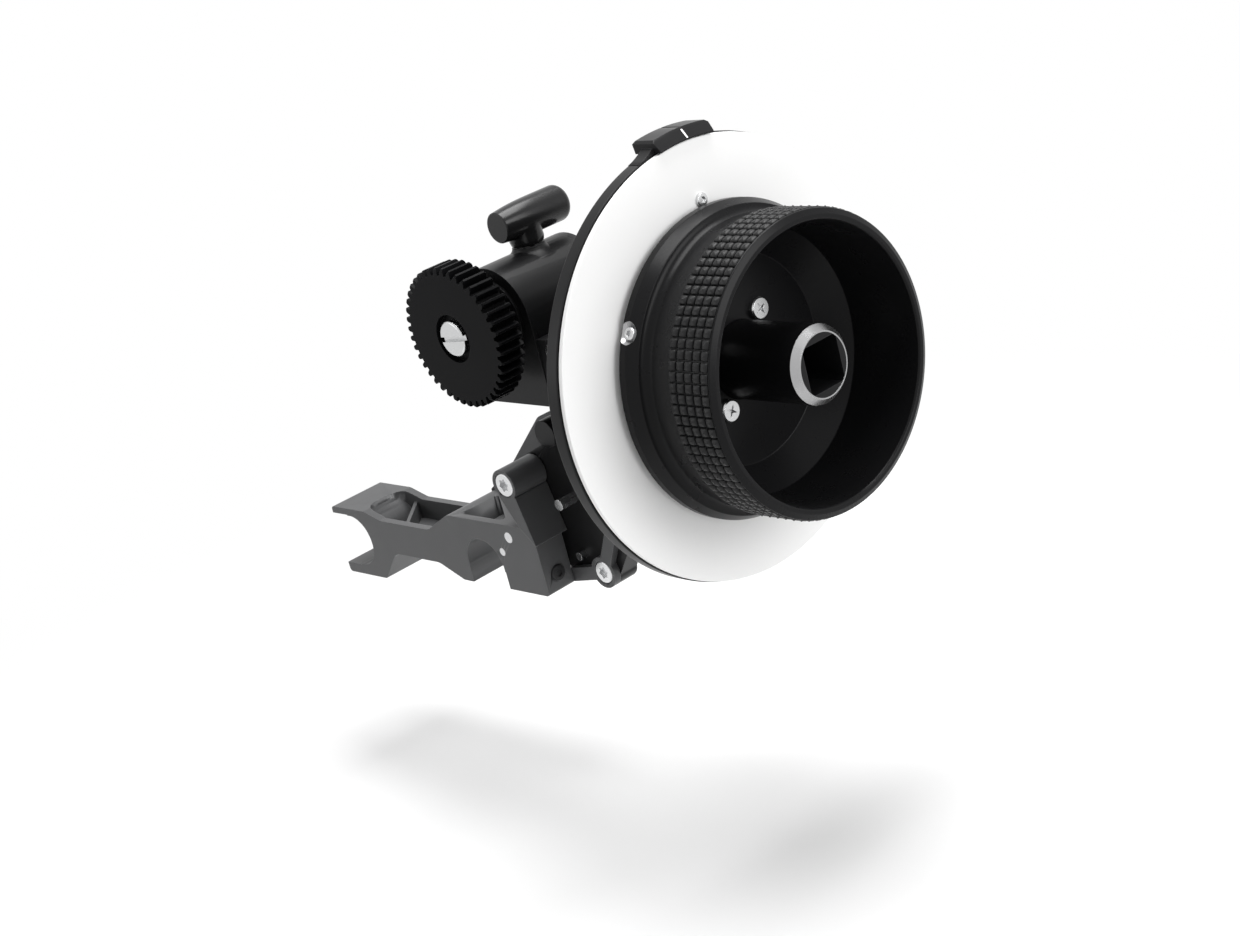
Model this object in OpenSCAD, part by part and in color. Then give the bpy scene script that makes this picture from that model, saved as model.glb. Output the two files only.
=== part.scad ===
// Follow focus unit for two parallel support rods.
// Origin: axis of the near support rod, halfway along the rod grooves.
// +X points to the hand wheel, +Y runs along the rods to the rear, +Z is up.

/* [Rods] */
// Diameter of the support rods
rod_d = 15; // [14:0.5:16]
// Distance between the centre lines of the two rods
rod_spacing = 60; // [57:1:66]
// Radial clearance of a rod groove
rod_clear = 0.1; // [0.05:0.05:0.2]

/* [Bridge bracket] */
// Width of the bracket along the rods
bridge_w = 17.5; // [16.5:0.5:20]
// Height of the bracket's top face above the rod axes
bridge_top = 13.2; // [12.6:0.2:15]
// Height of the low stretch between the rods
dip_top = 7.7; // [7.3:0.1:8.5]
// Height of the top of the hook
hook_top = 9.8; // [9.4:0.1:11]
// Depth of the hook's underside below the rod axes
hook_bottom = 10.7; // [9.8:0.1:12]
// Length of the hook's lips beyond the rod's centre
lip_reach = 8; // [6:0.5:10]
// Depth of the arch's ceiling below the rod axes
arch_drop = 2; // [1:0.5:3]
// Depth of the foot's underside below the rod axes
foot_drop = 5.9; // [5.5:0.1:7]
// Distance of the foot's end from the near rod's axis
foot_end = 24; // [23:0.5:26]
// Width of the foot along the rods
foot_w = 9; // [8.6:0.1:9.2]
// Wall beside the weight-saving pockets
pocket_wall = 2.2; // [1.8:0.1:2.8]
// Depth of the pockets
pocket_depth = 6; // [4:0.5:7]

/* [Hinge of the swing arm] */
// Distance of the pivot from the near rod's axis
pivot_x = 17.5; // [16.5:0.5:18.5]
// Height of the pivot above the rod axes
pivot_z = 24.8; // [23.8:0.2:26]
// Diameter of the pivot pin
pivot_d = 5; // [4:0.5:5]
// Outside diameter of the post's knuckle
knuckle_d = 8.6; // [8.4:0.2:10]
// Gap between parts that move past each other
run_gap = 0.3; // [0.2:0.05:0.35]
// Radial running clearance of pins and shafts
fit_gap = 0.05; // [0.03:0.01:0.08]
// Thickness of the rear pivot plate
plate_t = 3.2; // [2.8:0.1:4]

/* [Swing arm] */
// Thickness of the grey stay plate
stay_t = 2; // [1.8:0.1:2.2]
// Width of the stay plate's two strips
stay_w = 3.7; // [3:0.1:4.5]
// Distance of the lower screw from the near rod's axis
stay_x = 36.5; // [35:0.5:38]
// Depth of the lower screw below the rod axes
stay_drop = 1.6; // [1:0.2:3]

/* [Gearbox] */
// Distance of the drive axis from the near rod's axis
drive_x = 28.8; // [28:0.4:30]
// Height of the wheel axis above the rod axes
wheel_z = 55.8; // [55:0.4:58]
// Distance of the wheel axis behind the bracket's middle
wheel_y = 11.25; // [10.75:0.25:12]
// Radius of the housing's round top
house_r = 13; // [12.6:0.1:14]
// Depth of the housing's underside below the wheel axis
house_drop = 9; // [8.8:0.1:9.6]
// Length of the housing in front of the wheel axis
house_front = 16.5; // [16.2:0.1:18]
// Thickness of the housing's rear cover
cover_t = 2; // [1.8:0.1:3]

/* [Drive gear] */
// Teeth of the drive gear
gear_teeth = 43; // [38:1:46]
// Module of the drive gear
gear_module = 0.8; // [0.7:0.05:0.9]
// Face width of the drive gear
gear_w = 7.5; // [6:0.5:9]
// Distance of the gear's rear face in front of the housing
gear_off = 6.6; // [6:0.2:8]
// Diameter of the slotted screw's head
gear_screw_d = 9; // [8:0.5:10]

/* [Right-angle gears] */
// Normal module of the two helical gears
helix_module = 0.8; // [0.78:0.01:0.82]
// Face width of the helical gear on the wheel shaft
helix_w = 9; // [8:0.5:9]
// Face width of the helical gear on the drive shaft
drive_helix_w = 8; // [7:0.5:8]

/* [Shafts and bearings] */
// Diameter of the wheel shaft
shaft_d = 8; // [7.8:0.1:8.2]
// Diameter of the drive shaft
drive_d = 6; // [5.8:0.1:6.2]
// Outside diameter of the cartridge sleeve
sleeve_d = 20; // [19.6:0.2:20.6]

/* [Bearing carrier] */
// Length of the carrier between gearbox and wheel
hub_len = 43.7; // [42:0.1:48]
// Diameter of the carrier
hub_d = 24; // [23:0.5:26]

/* [Wheel] */
// Diameter of the white marking disc
disc_d = 103.8; // [98:0.2:104]
// Thickness of the marking disc
disc_t = 1.2; // [0.8:0.1:2]
// Height of the index ring's rim beyond the disc's edge
ring_over = 0.3; // [0.1:0.1:4]
// Width of the index ring's rim
ring_w = 3.5; // [3:0.1:4]
// Height of the pointer above the ring
pointer_h = 2.9; // [2.4:0.1:4]
// Diameter of the knob's flange
flange_d = 74.2; // [73:0.2:78]
// Diameter of the knob at its knurled band
knob_d = 70.4; // [69:0.2:71.6]
// Length of the knob in front of the marking disc
knob_len = 28.5; // [27:0.5:32]
// Length of the knurled band
grip_len = 12.5; // [10:0.5:13]
// Thickness of the knob's wall at the mouth of its cup
knob_wall = 3.2; // [2.6:0.1:5]
// Diameter of the central tube
tube_d = 18.3; // [17.5:0.1:18.5]
// Side of the square socket
socket_side = 11.2; // [10.4:0.1:12]
// Depth of the square socket
socket_depth = 14; // [10:1:16]

/* [Clamp lever] */
// Length of the lever's barrel grip
barrel_len = 21.5; // [20:0.5:24]
// Largest diameter of the barrel grip
barrel_d = 9.4; // [8.8:0.2:10]
// Height of the barrel's axis above the wheel axis
barrel_z = 34.3; // [34:0.1:36]
// Diameter of the lever's neck at its waist
neck_d = 8.4; // [7.8:0.2:8.6]

/* [Hidden] */
$fn = 96;
cut = 1; // overrun of every cut, and overlap of joined shapes

// Steps of the curves, and recesses of the screw heads as shares of the head
corner_steps = 5;
arc_step = 15;
flare_step = 0.125;
skirt_step = 0.25;
recess_share = 0.45;
star_points = 6;
star_tip_share = 0.56;
star_root_share = 0.34;
hex_share = 0.5;
cross_len_share = 1.1;
cross_w_share = 0.26;
slot_len_share = 2.4;
slot_w_share = 0.24;

// Colours
bracket_grey = "#77787a";
plate_grey = "#8c8d8f";
black = "#1c1d1f";
satin_black = "#2a2b2d";
white = "#f3f3f1";
steel = "#cbccce";
brass = "#b8974e";

// Rod grooves
hook_x = -rod_spacing;
groove_r = rod_d / 2 + rod_clear;
mouth_gap = 0.2; // extra half-width of a groove's mouth
mouth_start = 1; // depth at which the mouth begins, from the rod's axis
bridge_y0 = -bridge_w / 2;
bridge_y1 = bridge_w / 2;
lip_x = hook_x - lip_reach;

// Layers along Y: foot, stay plate, arm, pivot plate
foot_y1 = bridge_y0 + foot_w;
stay_y0 = foot_y1 + run_gap;
arm_y0 = stay_y0 + stay_t;
arm_y1 = bridge_y1 - run_gap;
post_y1 = arm_y0 - run_gap;
plate_y1 = bridge_y1 + plate_t;

// Bracket outline: places along the rod spacing, from the near rod to the hook
rise_far_share = 0.87;
dip_far_share = 0.745;
dip_near_share = 0.375;
deck_share = 0.2;
arch_near_share = 0.36;
arch_far_share = 0.7;
arch_foot_share = 0.835;
corner_r = 1; // small corner radius
blend_r = 5; // large corner radius
seat_leg = 4.9; // leg of the 45 degree seat under the hinge post
arm_room = 4.4; // wall between near groove and the room for the arm

// Pockets
window_end = 5; // from the hook's rod axis to the end of the long pocket
window_near_share = 0.34;
window_r = 5;
triangle_x0 = 7.8; // from the near rod's axis to the left edge of the triangular pocket
triangle_x1 = 11.3; // to its right corner
rib_t = 1.4;
rib_drop = 1.2; // a rib's top lies this far below the face
rib_far_share = 0.83;
rib_near_share = 0.55;

// Dowels of the foot
dowel_r = 1.5;
dowel_x = 13.2;
dowel_z = 9.6;
small_dowel_r = 1.1;
small_dowel_x = 8.9;
small_dowel_z = 5;
small_dowel_len = 2;

// Rod latch in a channel of the foot
latch_t = 3.4; // thickness of the latch
latch_y = bridge_y0 + foot_w / 2; // middle of the latch
latch_gap = 0.3; // side clearance in the channel
latch_eye_r = 2.8;
latch_tip_x = 5.4;
latch_tip_z = -6.6;
latch_arm_w = 3.2;
latch_bevel = 1;
channel_x0 = dowel_x - latch_eye_r - latch_gap;
channel_x1 = 18; // end of the latch channel
channel_z1 = 12.6; // top of the latch channel
latch_screw_r = 2.2;
latch_screw_out = 0.6; // the latch's stop screw stands out of the foot
latch_screw_z = -1;

// Hinge
knuckle_r = knuckle_d / 2;
pivot_r = pivot_d / 2;
arm_eye_r = knuckle_r - fit_gap;
post_heel = 3.4; // width of the post's web below the knuckle
post_tuck = 1; // the web ends this far inside the knuckle
pivot_head_r = 3.4;
pivot_head_t = 1.8;
pivot_screw_r = 1.5;
pivot_screw_len = 8;
plate_reach_z = 14.1; // top of the plate above the pivot
plate_edge_x = 31; // plate's lower left corner, from the pivot
plate_low = 4.8; // plate's lower edge, below the bracket's top
plate_shares = [[-1.33, -0.23], [-0.14, 0.83], [0.33, 1], [0.5, 0.79], [0.36, -0.34]];
plate_screw_r = 1.5;
plate_head_r = 2.8;
plate_head_t = 1.4;
plate_screw_len = 7.2;
plate_screw_z = bridge_top - plate_low / 2;
plate_screw_far = 10.3; // far plate screw, from the near rod's axis
plate_screw_xs = [-plate_screw_far, groove_r + arm_room / 2];

// Swing arm
stay_z = -stay_drop;
stay_eye_r = 4.3;
bar_len = 13.6; // from the lower screw to the free end of the stay plate's bar
bar_fall = 2.4; // fall of the bar over its length
arm_left = 3.5; // arm's left edge, to the right of the pivot
arm_bottom = 4; // arm's lower edge below the rod axes
crest_x = 21; // end of the arm's sloping top edge, from the pivot
crest_z = 14;
arm_heel = 2; // arm's left edge near the knuckle, from the pivot
arm_heel_drop = 8;
arm_tuck = 1; // the outline ends this far inside a round end
arm_skim = 0.25;
stay_top_share = 0.36; // upper end of the stay plate's strip along the saddle
stay_head_r = 3.2;
stay_head_t = 1.5;
boss_x = 10.1; // round boss on the arm, from the pivot
boss_z = 11.1;
boss_r = 3.8;
boss_h = 2;
peg_x = 12; // bright peg on the arm, from the pivot
peg_drop = 7;
peg_r = 1.5;
peg_len = 5;
small_peg_x = 10.5;
small_peg_drop = 23;
small_peg_r = 1.1;
small_peg_len = 1.9;

// Gearbox
helix_teeth = 12;
helix_angle = 45;
helix_r = helix_module * helix_teeth / (2 * cos(helix_angle));
helix_add_share = 0.8; // addendum over the normal module
helix_ded_share = 1.2;
helix_tip = helix_r + helix_add_share * helix_module;
helix_root = helix_r - helix_ded_share * helix_module;
twist_per_len = tan(helix_angle) / helix_r * 180 / PI;
helix_slice = 0.75; // length of one slice of a helical gear
helix_mid_share = 0.235; // half thickness of a tooth over the pitch
helix_foot_share = 0.36;
helix_top_share = 0.12;
drive_z = wheel_z + 2 * helix_r;
house_x0 = drive_x - house_r;
house_x1 = drive_x + house_r;
house_y0 = wheel_y - house_front;
sleeve_r = sleeve_d / 2;
tip_gap = 0.4;
chamber_r = helix_tip + tip_gap;
sleeve_in_r = helix_tip + tip_gap;
boss_step = 0.5; // boss of the drive shaft's helical gear
small_brg_r = 6;
small_brg_w = 4;
small_brg_in = drive_d / 2;
front_lip = 1.6; // from the sleeve's front end to its front bearing
sleeve_lip = 0.7; // sleeve's length in front of the housing
sleeve_y0 = house_y0 - sleeve_lip;
front_brg_y = sleeve_y0 + front_lip;
rear_brg_y = wheel_y + drive_helix_w / 2 + boss_step;
rear_lip = 0.3;
house_y1 = rear_brg_y + small_brg_w + rear_lip;
cap_tail = 1;
cap_len = front_lip + small_brg_w + cap_tail;
cap_bore_r = 4.8;
mesh_room = 1; // room beside the helical gears in the sleeve's window
window_len = helix_w + 2 * mesh_room;
cover_y1 = house_y1 + cover_t;
cover_recess_r = 5;
cover_recess = 1.2;
cover_screw_r = 1;
cover_head_r = 1.7;
cover_head_t = 1;
cover_screw_len = 3;
edge_r = 1.5; // bevel of the housing's lower edges
house_step = 7.5; // angle between the points of the round top
cover_ring_r = (sleeve_r + house_r) / 2;
cover_low_x = 10; // lower cover screws, from the drive axis
cover_low_z = 6.9; // and below the wheel axis
cover_screw_places = [for (k = [-1, 1]) each [
    [drive_x + k * cover_ring_r * cos(45), drive_z + cover_ring_r * sin(45)],
    [drive_x + k * cover_low_x, wheel_z - cover_low_z]]];

// Drive shaft
slot_angle = 62; // turn of the screw's slot
gear_boss_r = 4.2;
gear_recess = 1.8;
gear_recess_r = 6.2;
gear_screw_head_t = 2.2;
gear_screw_r = 1.5;
gear_screw_len = 9;
gear_y1 = house_y0 - gear_off;
gear_y0 = gear_y1 - gear_w;
gear_pitch_r = gear_module * gear_teeth / 2;
gear_tip_r = gear_pitch_r + gear_module;
gear_ded_share = 1.25; // dedendum over the module
gear_root_r = gear_pitch_r - gear_ded_share * gear_module;
tooth_foot_share = 0.33;
tooth_mid_share = 0.24;
tooth_top_share = 0.11;
seat_y = gear_y0 + gear_recess; // seat of the slotted screw's head
shaft_head_r = 4;
shaft_head_t = 1;
drive_shaft_y1 = rear_brg_y + small_brg_w;

// Wheel shaft, from the gearbox to the knob
rear_wall = 1.5;
rear_brg_r = 7;
rear_brg_w = 4;
rear_brg_x = house_x0 + rear_wall;
helix_x0 = drive_x - helix_w / 2;
helix_x1 = drive_x + helix_w / 2;
spacer_r = 5;
shaft_r = shaft_d / 2;
ball_share = 0.26; // ball radius over a bearing's radial height
race_share = 0.3; // wall of a bearing ring over the radial height
ball_pitch_share = 1.3;
ball_gap = 0.04;
wheel_phase = 0; // a tooth of the wheel's gear stands at the top
drive_phase = 180 / helix_teeth; // and a gap of the drive's gear below
spigot_len = 4;
hub_r = hub_d / 2;
hub_bore_r = 6.4;
hub_front = house_x1 + hub_len;
front_brg_r = 9.5;
front_brg_w = 6;
hub_lip = 1;
front_brg_x = hub_front - hub_lip - front_brg_w;
collar_r = 16;
collar_t = 3;
web_t = 2.5;
ring_web_x = hub_front - 2 * web_t;
collar_x = ring_web_x - run_gap - collar_t;
nut_t = 1.2;
washer_t = 0.3;
nut_r = 17;
ear_y = 14; // hub ear screws in front of the wheel axis
ear_z = 5.5;
ear_t = 3.5;
ear_h = 8.5;
ear_end = 16.2;
ear_in = 7.4;
ear_screw_r = 1.5;
ear_head_r = 2.7;
ear_head_t = 2;
ear_screw_len = 6;
shoulder_r = 5.4;
end_gap = 1; // axial gap between carrier and shaft flange
flange_x0 = hub_front + end_gap;
shaft_flange_r = 12;
shaft_flange_t = 2.3;
carrier_t = 2;
carrier_x0 = flange_x0 + shaft_flange_t;
disc_x0 = carrier_x0 + carrier_t;
knob_x0 = disc_x0 + disc_t;
knob_x1 = knob_x0 + knob_len;
flange_screw_r = 1.25;
flange_head_r = 2.1;
flange_head_t = 1.1;
flange_screw_circle = 8;
flange_screw_angles = [0, 120, 240];
disc_spigot_r = 16;

// Saddle under the carrier
tenon_len = 22;
saddle_x0 = house_x1 + ear_t + ear_head_t + run_gap;
saddle_len = 29;
saddle_x1 = saddle_x0 + saddle_len;
saddle_drop = 20; // saddle's underside below the wheel axis
saddle_y0 = wheel_y - hub_r;
saddle_w = 18.75;
saddle_y1 = saddle_y0 + saddle_w;
saddle_z0 = wheel_z - saddle_drop;
tenon_h = 5; // height of the arm's tenon in the saddle
saddle_cross_r = 1.5;
saddle_cross_head_r = 2.8;
saddle_cross_head_t = 1.6;
saddle_cross_len = 11;
saddle_cross_end = 3.3; // end screws' distance from the tenon's ends
saddle_cross_xs = [saddle_x0 + saddle_cross_end, saddle_x0 + tenon_len - saddle_cross_end];
saddle_rise = 8; // rise of the saddle's cheeks beside the carrier
saddle_bolt_r = 1.5;
saddle_bolt_head_r = 2.7;
saddle_bolt_head_t = 2;
saddle_bolt_edge = 5;
saddle_bolt_end = 6;
saddle_bolt_wall = 1.5;
saddle_bolt_y = saddle_y1 - saddle_bolt_edge;
saddle_bolt_xs = [saddle_x0 + saddle_bolt_end, saddle_x1 - saddle_bolt_end];
saddle_bolt_tip = wheel_z - hub_bore_r - saddle_bolt_wall;
saddle_bolt_len = saddle_bolt_tip - saddle_z0 - saddle_bolt_head_t;

// Index ring
flange_r = flange_d / 2;
rim_x1 = disc_x0 - run_gap;
rim_x0 = rim_x1 - ring_w;
rim_in_share = 0.41; // place of the rim's inner edge between the knob's flange and the ring's edge
cup_wall = 3;
nut_x0 = ring_web_x + web_t + washer_t;
ring_r = disc_d / 2 + ring_over;
rim_in_r = flange_r + rim_in_share * (ring_r - flange_r);
carrier_share = 0.19; // place of the disc carrier's edge, in the same way
carrier_r = flange_r + carrier_share * (ring_r - flange_r);

// Pointer on the index ring, angles seen from the wheel's front
pointer_a0 = 80;
pointer_a1 = 98.5;
pointer_line_a = 89;
pointer_back = 2.6; // reach behind the rim
pointer_front = 2.5; // reach in front of the rim
pointer_slope_w = 2; // width of its sloping front face
pointer_foot_h = 0.4; // height of its front edge
pointer_end_a = 0.8; // angle taken up by its bevelled ends
tail_a = 6; // angle over which its tail runs out on the ring
tail_h = 1.3;
line_w = 0.5;
line_t = 0.25;
band_steps = 8; // steps of an arc outline

// Knob
flange_back = 1.9; // bevel behind the flange's rim
flange_rim_w = 1.9;
flange_fall_len = 2.9; // length of the slope in front of the rim
flange_fall = 1.3; // its fall
knob_r = knob_d / 2;
knurl_h = 0.9;
band_r = knob_r - knurl_h;
rim_bevel = 1.9;
cup_r = knob_r - knob_wall;
cup_taper = 1; // narrowing of the cup's straight wall
cup_cone = 7.2; // narrowing down to the floor
cup_wall_in_r = cup_r - cup_taper;
cup_deep_r = cup_r - cup_cone;
floor_t = 2.6;
cup_knee = 9; // from the disc to the foot of the straight wall
skirt_r = 33.6; // least radius of the hollow skirt
grip_back = 1;
grip_x1 = knob_x1 - grip_back; // front end of the knurled band
grip_x0 = grip_x1 - grip_len;
knurl_cols = 5;
knurl_rows = 90;
knurl_base_share = 0.33; // grooves of the knurl over its height
lip_bevel = 0.5;

// Socket tube and screws of the wheel
tube_r = tube_d / 2;
tube_back = 0.2;
tube_x1 = knob_x1 - tube_back;
tube_bevel = 1.5;
socket_lip = 0.35; // least width of the tube's end face, at the socket's corners
socket_corner_r = tube_r - tube_bevel - socket_lip;
centre_screw_r = 2;
centre_head_r = 3.6;
centre_head_t = 2.4;
centre_screw_len = 9;
centre_floor_t = 2.5;
centre_seat_x = knob_x0 + centre_floor_t;
tube_room_r = 4.4; // room for the centre screw's head
knob_screw_angles = [50, 140, 230, 320];
knob_screw_circle = 12.5;
knob_screw_head_r = 2.7;
knob_screw_head_t = 1.5;
knob_screw_r = 1.25;
set_screw_r = 1.5;
set_screw_len = 6;
set_screw_drop = 0.3; // the screws' ends below the flange's rim
set_screw_top_r = flange_r - set_screw_drop;
set_screw_x = knob_x0 + flange_back + flange_rim_w;
set_screw_angles = [150, 270, 390];
sink_r = 2.85; // countersink of a set screw's hole
disc_pin_out = 0.9; // the pin's axis outside the flange's edge
disc_pin_circle = flange_r + disc_pin_out;
disc_pin_a = 88;
disc_pin_head_r = 1.6;
disc_pin_head_t = 0.8;
disc_pin_r = 0.8;

// Clamp lever
lever_back = 1;
lever_y = wheel_y - lever_back;
barrel_r = barrel_d / 2;
barrel_near_share = 0.9; // near radius over the largest radius
barrel_near = 8; // from the neck's axis to the barrel's near end
neck_r = neck_d / 2;
barrel_round = 2.2; // rounding of the barrel's far end
lever_boss_h = 0.9; // fixed collar above the crown of the housing
lever_flare_r = 7.2;
lever_flare_drop = 1.8; // the collar's flare reaches this far below the crown
neck_z0 = drive_z + house_r + lever_boss_h + run_gap;
stud_in = 4; // the stud's length in the lever's neck
stud_r = 2.5;
pad_r = 3.4;
pad_t = 1.6;
barrel_axis_z = wheel_z + barrel_z;

module along_x(x = 0) {
    translate([x, 0, 0]) rotate([0, 90, 0]) children();
}
module along_y(y = 0) {
    translate([0, y, 0]) rotate([-90, 0, 0]) children();
}
// Moves the wheel's parts from the wheel axis into the unit's frame
module on_wheel() {
    translate([0, wheel_y, wheel_z]) children();
}
// Moves the drive's parts from the drive axis into the unit's frame
module on_drive() {
    translate([drive_x, 0, drive_z]) children();
}
// Outline in the XZ plane, extruded from y0 to y1
module slab(y0, y1) {
    translate([0, y1, 0]) rotate([90, 0, 0]) linear_extrude(y1 - y0) children();
}
module rod_y(x, z, y0, y1, r) {
    translate([x, y0, z]) rotate([-90, 0, 0]) cylinder(h = y1 - y0, r = r);
}
module rod_x(y, z, x0, x1, r) {
    translate([x0, y, z]) rotate([0, 90, 0]) cylinder(h = x1 - x0, r = r);
}
// Body of revolution about the wheel axis, from points [x, r]
module turned_x(pts) {
    rotate([0, 90, 0]) rotate_extrude() polygon([for (p = pts) [p[1], p[0]]]);
}
// Body of revolution about the drive axis, from points [y, r]
module turned_y(pts) {
    rotate([-90, 0, 0]) rotate_extrude() polygon([for (p = pts) [p[1], p[0]]]);
}

// Rounds the corners of an outline given as [x, y, corner radius]
function unit2(v) = v / norm(v);
function arc_corner(a, b, c, r, n) =
    let (p0 = [b[0], b[1]],
         u = unit2([a[0], a[1]] - p0),
         v = unit2([c[0], c[1]] - p0),
         half = acos(max(-1, min(1, u * v))) / 2,
         o = p0 + unit2(u + v) * r / sin(half),
         p = p0 + u * r / tan(half) - o,
         q = p0 + v * r / tan(half) - o,
         t0 = atan2(p[1], p[0]),
         turn = atan2(p[0] * q[1] - p[1] * q[0], p * q))
    [for (i = [0:n]) o + r * [cos(t0 + turn * i / n), sin(t0 + turn * i / n)]];
function rounded(pts) =
    [for (i = [0:len(pts) - 1])
        let (a = pts[(i + len(pts) - 1) % len(pts)], b = pts[i], c = pts[(i + 1) % len(pts)])
        each (b[2] == 0 ? [[b[0], b[1]]] : arc_corner(a, b, c, b[2], corner_steps))];

// Gear outline with straight-sided teeth, from root, pitch and tip radius and half widths as shares
function gear_outline(n, root, pitch, tip, foot, mid, top) =
    [for (i = [0:n - 1])
        for (k = [[root, -foot], [pitch, -mid], [tip, -top], [tip, top], [pitch, mid], [root, foot]])
            let (a = 360 / n * (i + k[1]))
            k[0] * [cos(a), sin(a)]];

// Screw along Z: the head stands on z = 0, the shank hangs below
module screw(head_r, head_t, shank_r, shank_len) {
    difference() {
        cylinder(h = head_t, r = head_r);
        translate([0, 0, recess_share * head_t]) linear_extrude(head_t) children();
    }
    translate([0, 0, -shank_len]) cylinder(h = shank_len, r = shank_r);
}
// Drives, drawn for a head of radius 1
module star_drive(r) {
    step = 180 / star_points;
    polygon([for (i = [0:2 * star_points - 1])
        (i % 2 == 0 ? star_tip_share : star_root_share) * r * [cos(step * i), sin(step * i)]]);
}
module hex_drive(r) {
    circle(r = hex_share * r, $fn = 6);
}
module cross_drive(r) {
    square([cross_len_share * r, cross_w_share * r], center = true);
    square([cross_w_share * r, cross_len_share * r], center = true);
}
module slot_drive(r) {
    square([slot_len_share * r, slot_w_share * r], center = true);
}

function along(share) = -share * rod_spacing;

module bridge_outline() {
    polygon(rounded([
        [lip_x, hook_top, corner_r],
        [along(rise_far_share), hook_top, blend_r],
        [along(dip_far_share), dip_top, blend_r],
        [along(dip_near_share), dip_top, blend_r],
        [along(deck_share), bridge_top, blend_r],
        [foot_end - seat_leg, bridge_top, 0],
        [foot_end, bridge_top - seat_leg, 0],
        [foot_end, -foot_drop, corner_r],
        [-groove_r - arm_room, -foot_drop, corner_r],
        [along(arch_near_share), -arch_drop, blend_r],
        [along(arch_far_share), -arch_drop, blend_r],
        [along(arch_foot_share), -hook_bottom, corner_r],
        [lip_x, -hook_bottom, corner_r]]));
}
module long_pocket() {
    y = bridge_w / 2 - pocket_wall;
    linear_extrude(bridge_top) polygon(rounded([
        [hook_x + window_end, -y, window_r],
        [along(window_near_share), -y, corner_r],
        [along(window_near_share), y, corner_r],
        [hook_x + window_end, y, window_r]]));
}
module triangle_pocket() {
    y = bridge_w / 2 - pocket_wall;
    linear_extrude(bridge_top) polygon(rounded([
        [-triangle_x0, -y, corner_r],
        [triangle_x1, -y, corner_r],
        [-triangle_x0, y, corner_r]]));
}
module pockets() {
    difference() {
        union() {
            translate([0, 0, dip_top - pocket_depth]) long_pocket();
            translate([0, 0, bridge_top - pocket_depth]) triangle_pocket();
        }
        rod_y(hook_x, 0, bridge_y0, bridge_y1, groove_r + pocket_wall);
        rod_y(0, 0, bridge_y0, bridge_y1, groove_r + pocket_wall);
        // Diagonal rib of the long pocket
        linear_extrude(dip_top - rib_drop) polygon([
            [along(rib_far_share), bridge_y1],
            [along(rib_far_share) - rib_t, bridge_y1],
            [along(rib_near_share) - rib_t, bridge_y0],
            [along(rib_near_share), bridge_y0]]);
    }
}
module bridge() {
    color(bracket_grey) difference() {
        slab(bridge_y0, bridge_y1) bridge_outline();
        rod_y(0, 0, bridge_y0 - cut, bridge_y1 + cut, groove_r);
        rod_y(hook_x, 0, bridge_y0 - cut, bridge_y1 + cut, groove_r);
        // Mouth of the near groove, open below
        translate([-groove_r - mouth_gap, bridge_y0 - cut, -foot_drop - cut])
            cube([2 * (groove_r + mouth_gap), bridge_w + 2 * cut, foot_drop + cut - mouth_start]);
        // Mouth of the hook, open to the far side
        translate([lip_x - cut, bridge_y0 - cut, -groove_r - mouth_gap])
            cube([lip_reach + cut - mouth_start, bridge_w + 2 * cut, 2 * (groove_r + mouth_gap)]);
        // Room for the swing arm behind the foot
        translate([groove_r + arm_room, foot_y1, -foot_drop - cut])
            cube([foot_end, bridge_w, foot_drop + bridge_top + 2 * cut]);
        pockets();
        rod_y(dowel_x, dowel_z, bridge_y0 - cut, foot_y1 + cut, dowel_r);
        rod_y(small_dowel_x, small_dowel_z, bridge_y0 - cut, bridge_y0 + small_dowel_len, small_dowel_r);
        latch_channel();
        rod_x(latch_y, latch_screw_z, channel_x1 - cut, foot_end + cut, latch_screw_r);
        plate_screw_holes();
    }
}
// Channel in the foot, open to the near groove and below
module latch_channel() {
    slab(latch_y - latch_t / 2 - latch_gap, latch_y + latch_t / 2 + latch_gap) polygon([
        [groove_r - cut, -foot_drop - cut],
        [channel_x1, -foot_drop - cut],
        [channel_x1, channel_z1],
        [channel_x0, channel_z1],
        [channel_x0, 0],
        [groove_r - cut, latch_tip_z / 2]]);
}
module rod_latch() {
    y0 = latch_y - latch_t / 2;
    color(steel) difference() {
        union() {
            rod_y(dowel_x, dowel_z, y0, y0 + latch_t, latch_eye_r);
            slab(y0, y0 + latch_t) polygon([
                [dowel_x - latch_eye_r, dowel_z],
                [dowel_x + latch_eye_r, dowel_z],
                [dowel_x + latch_arm_w / 2, 0],
                [dowel_x, latch_tip_z],
                [latch_tip_x, latch_tip_z],
                [latch_tip_x + latch_bevel, latch_tip_z + latch_bevel],
                [dowel_x - latch_arm_w / 2, 0]]);
        }
        rod_y(dowel_x, dowel_z, y0 - cut, y0 + latch_t + cut, dowel_r + fit_gap);
    }
}
module dowel_pins() {
    color(steel) {
        rod_y(dowel_x, dowel_z, bridge_y0, foot_y1, dowel_r);
        rod_y(small_dowel_x, small_dowel_z, bridge_y0, bridge_y0 + small_dowel_len, small_dowel_r);
    }
}
module hinge_post() {
    color(plate_grey) difference() {
        union() {
            slab(bridge_y0, post_y1) polygon([
                [foot_end - seat_leg, bridge_top],
                [foot_end, bridge_top - seat_leg],
                [pivot_x + post_heel, pivot_z - knuckle_r + post_tuck],
                [pivot_x, pivot_z],
                [pivot_x - knuckle_r + post_tuck, pivot_z - knuckle_r + post_tuck]]);
            rod_y(pivot_x, pivot_z, bridge_y0, post_y1, knuckle_r);
        }
        rod_y(pivot_x, pivot_z, bridge_y0 - cut, post_y1 + cut, pivot_r);
        rod_y(pivot_x, pivot_z, bridge_y0 - cut, bridge_y0 + pivot_head_t, pivot_head_r);
    }
}
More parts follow.
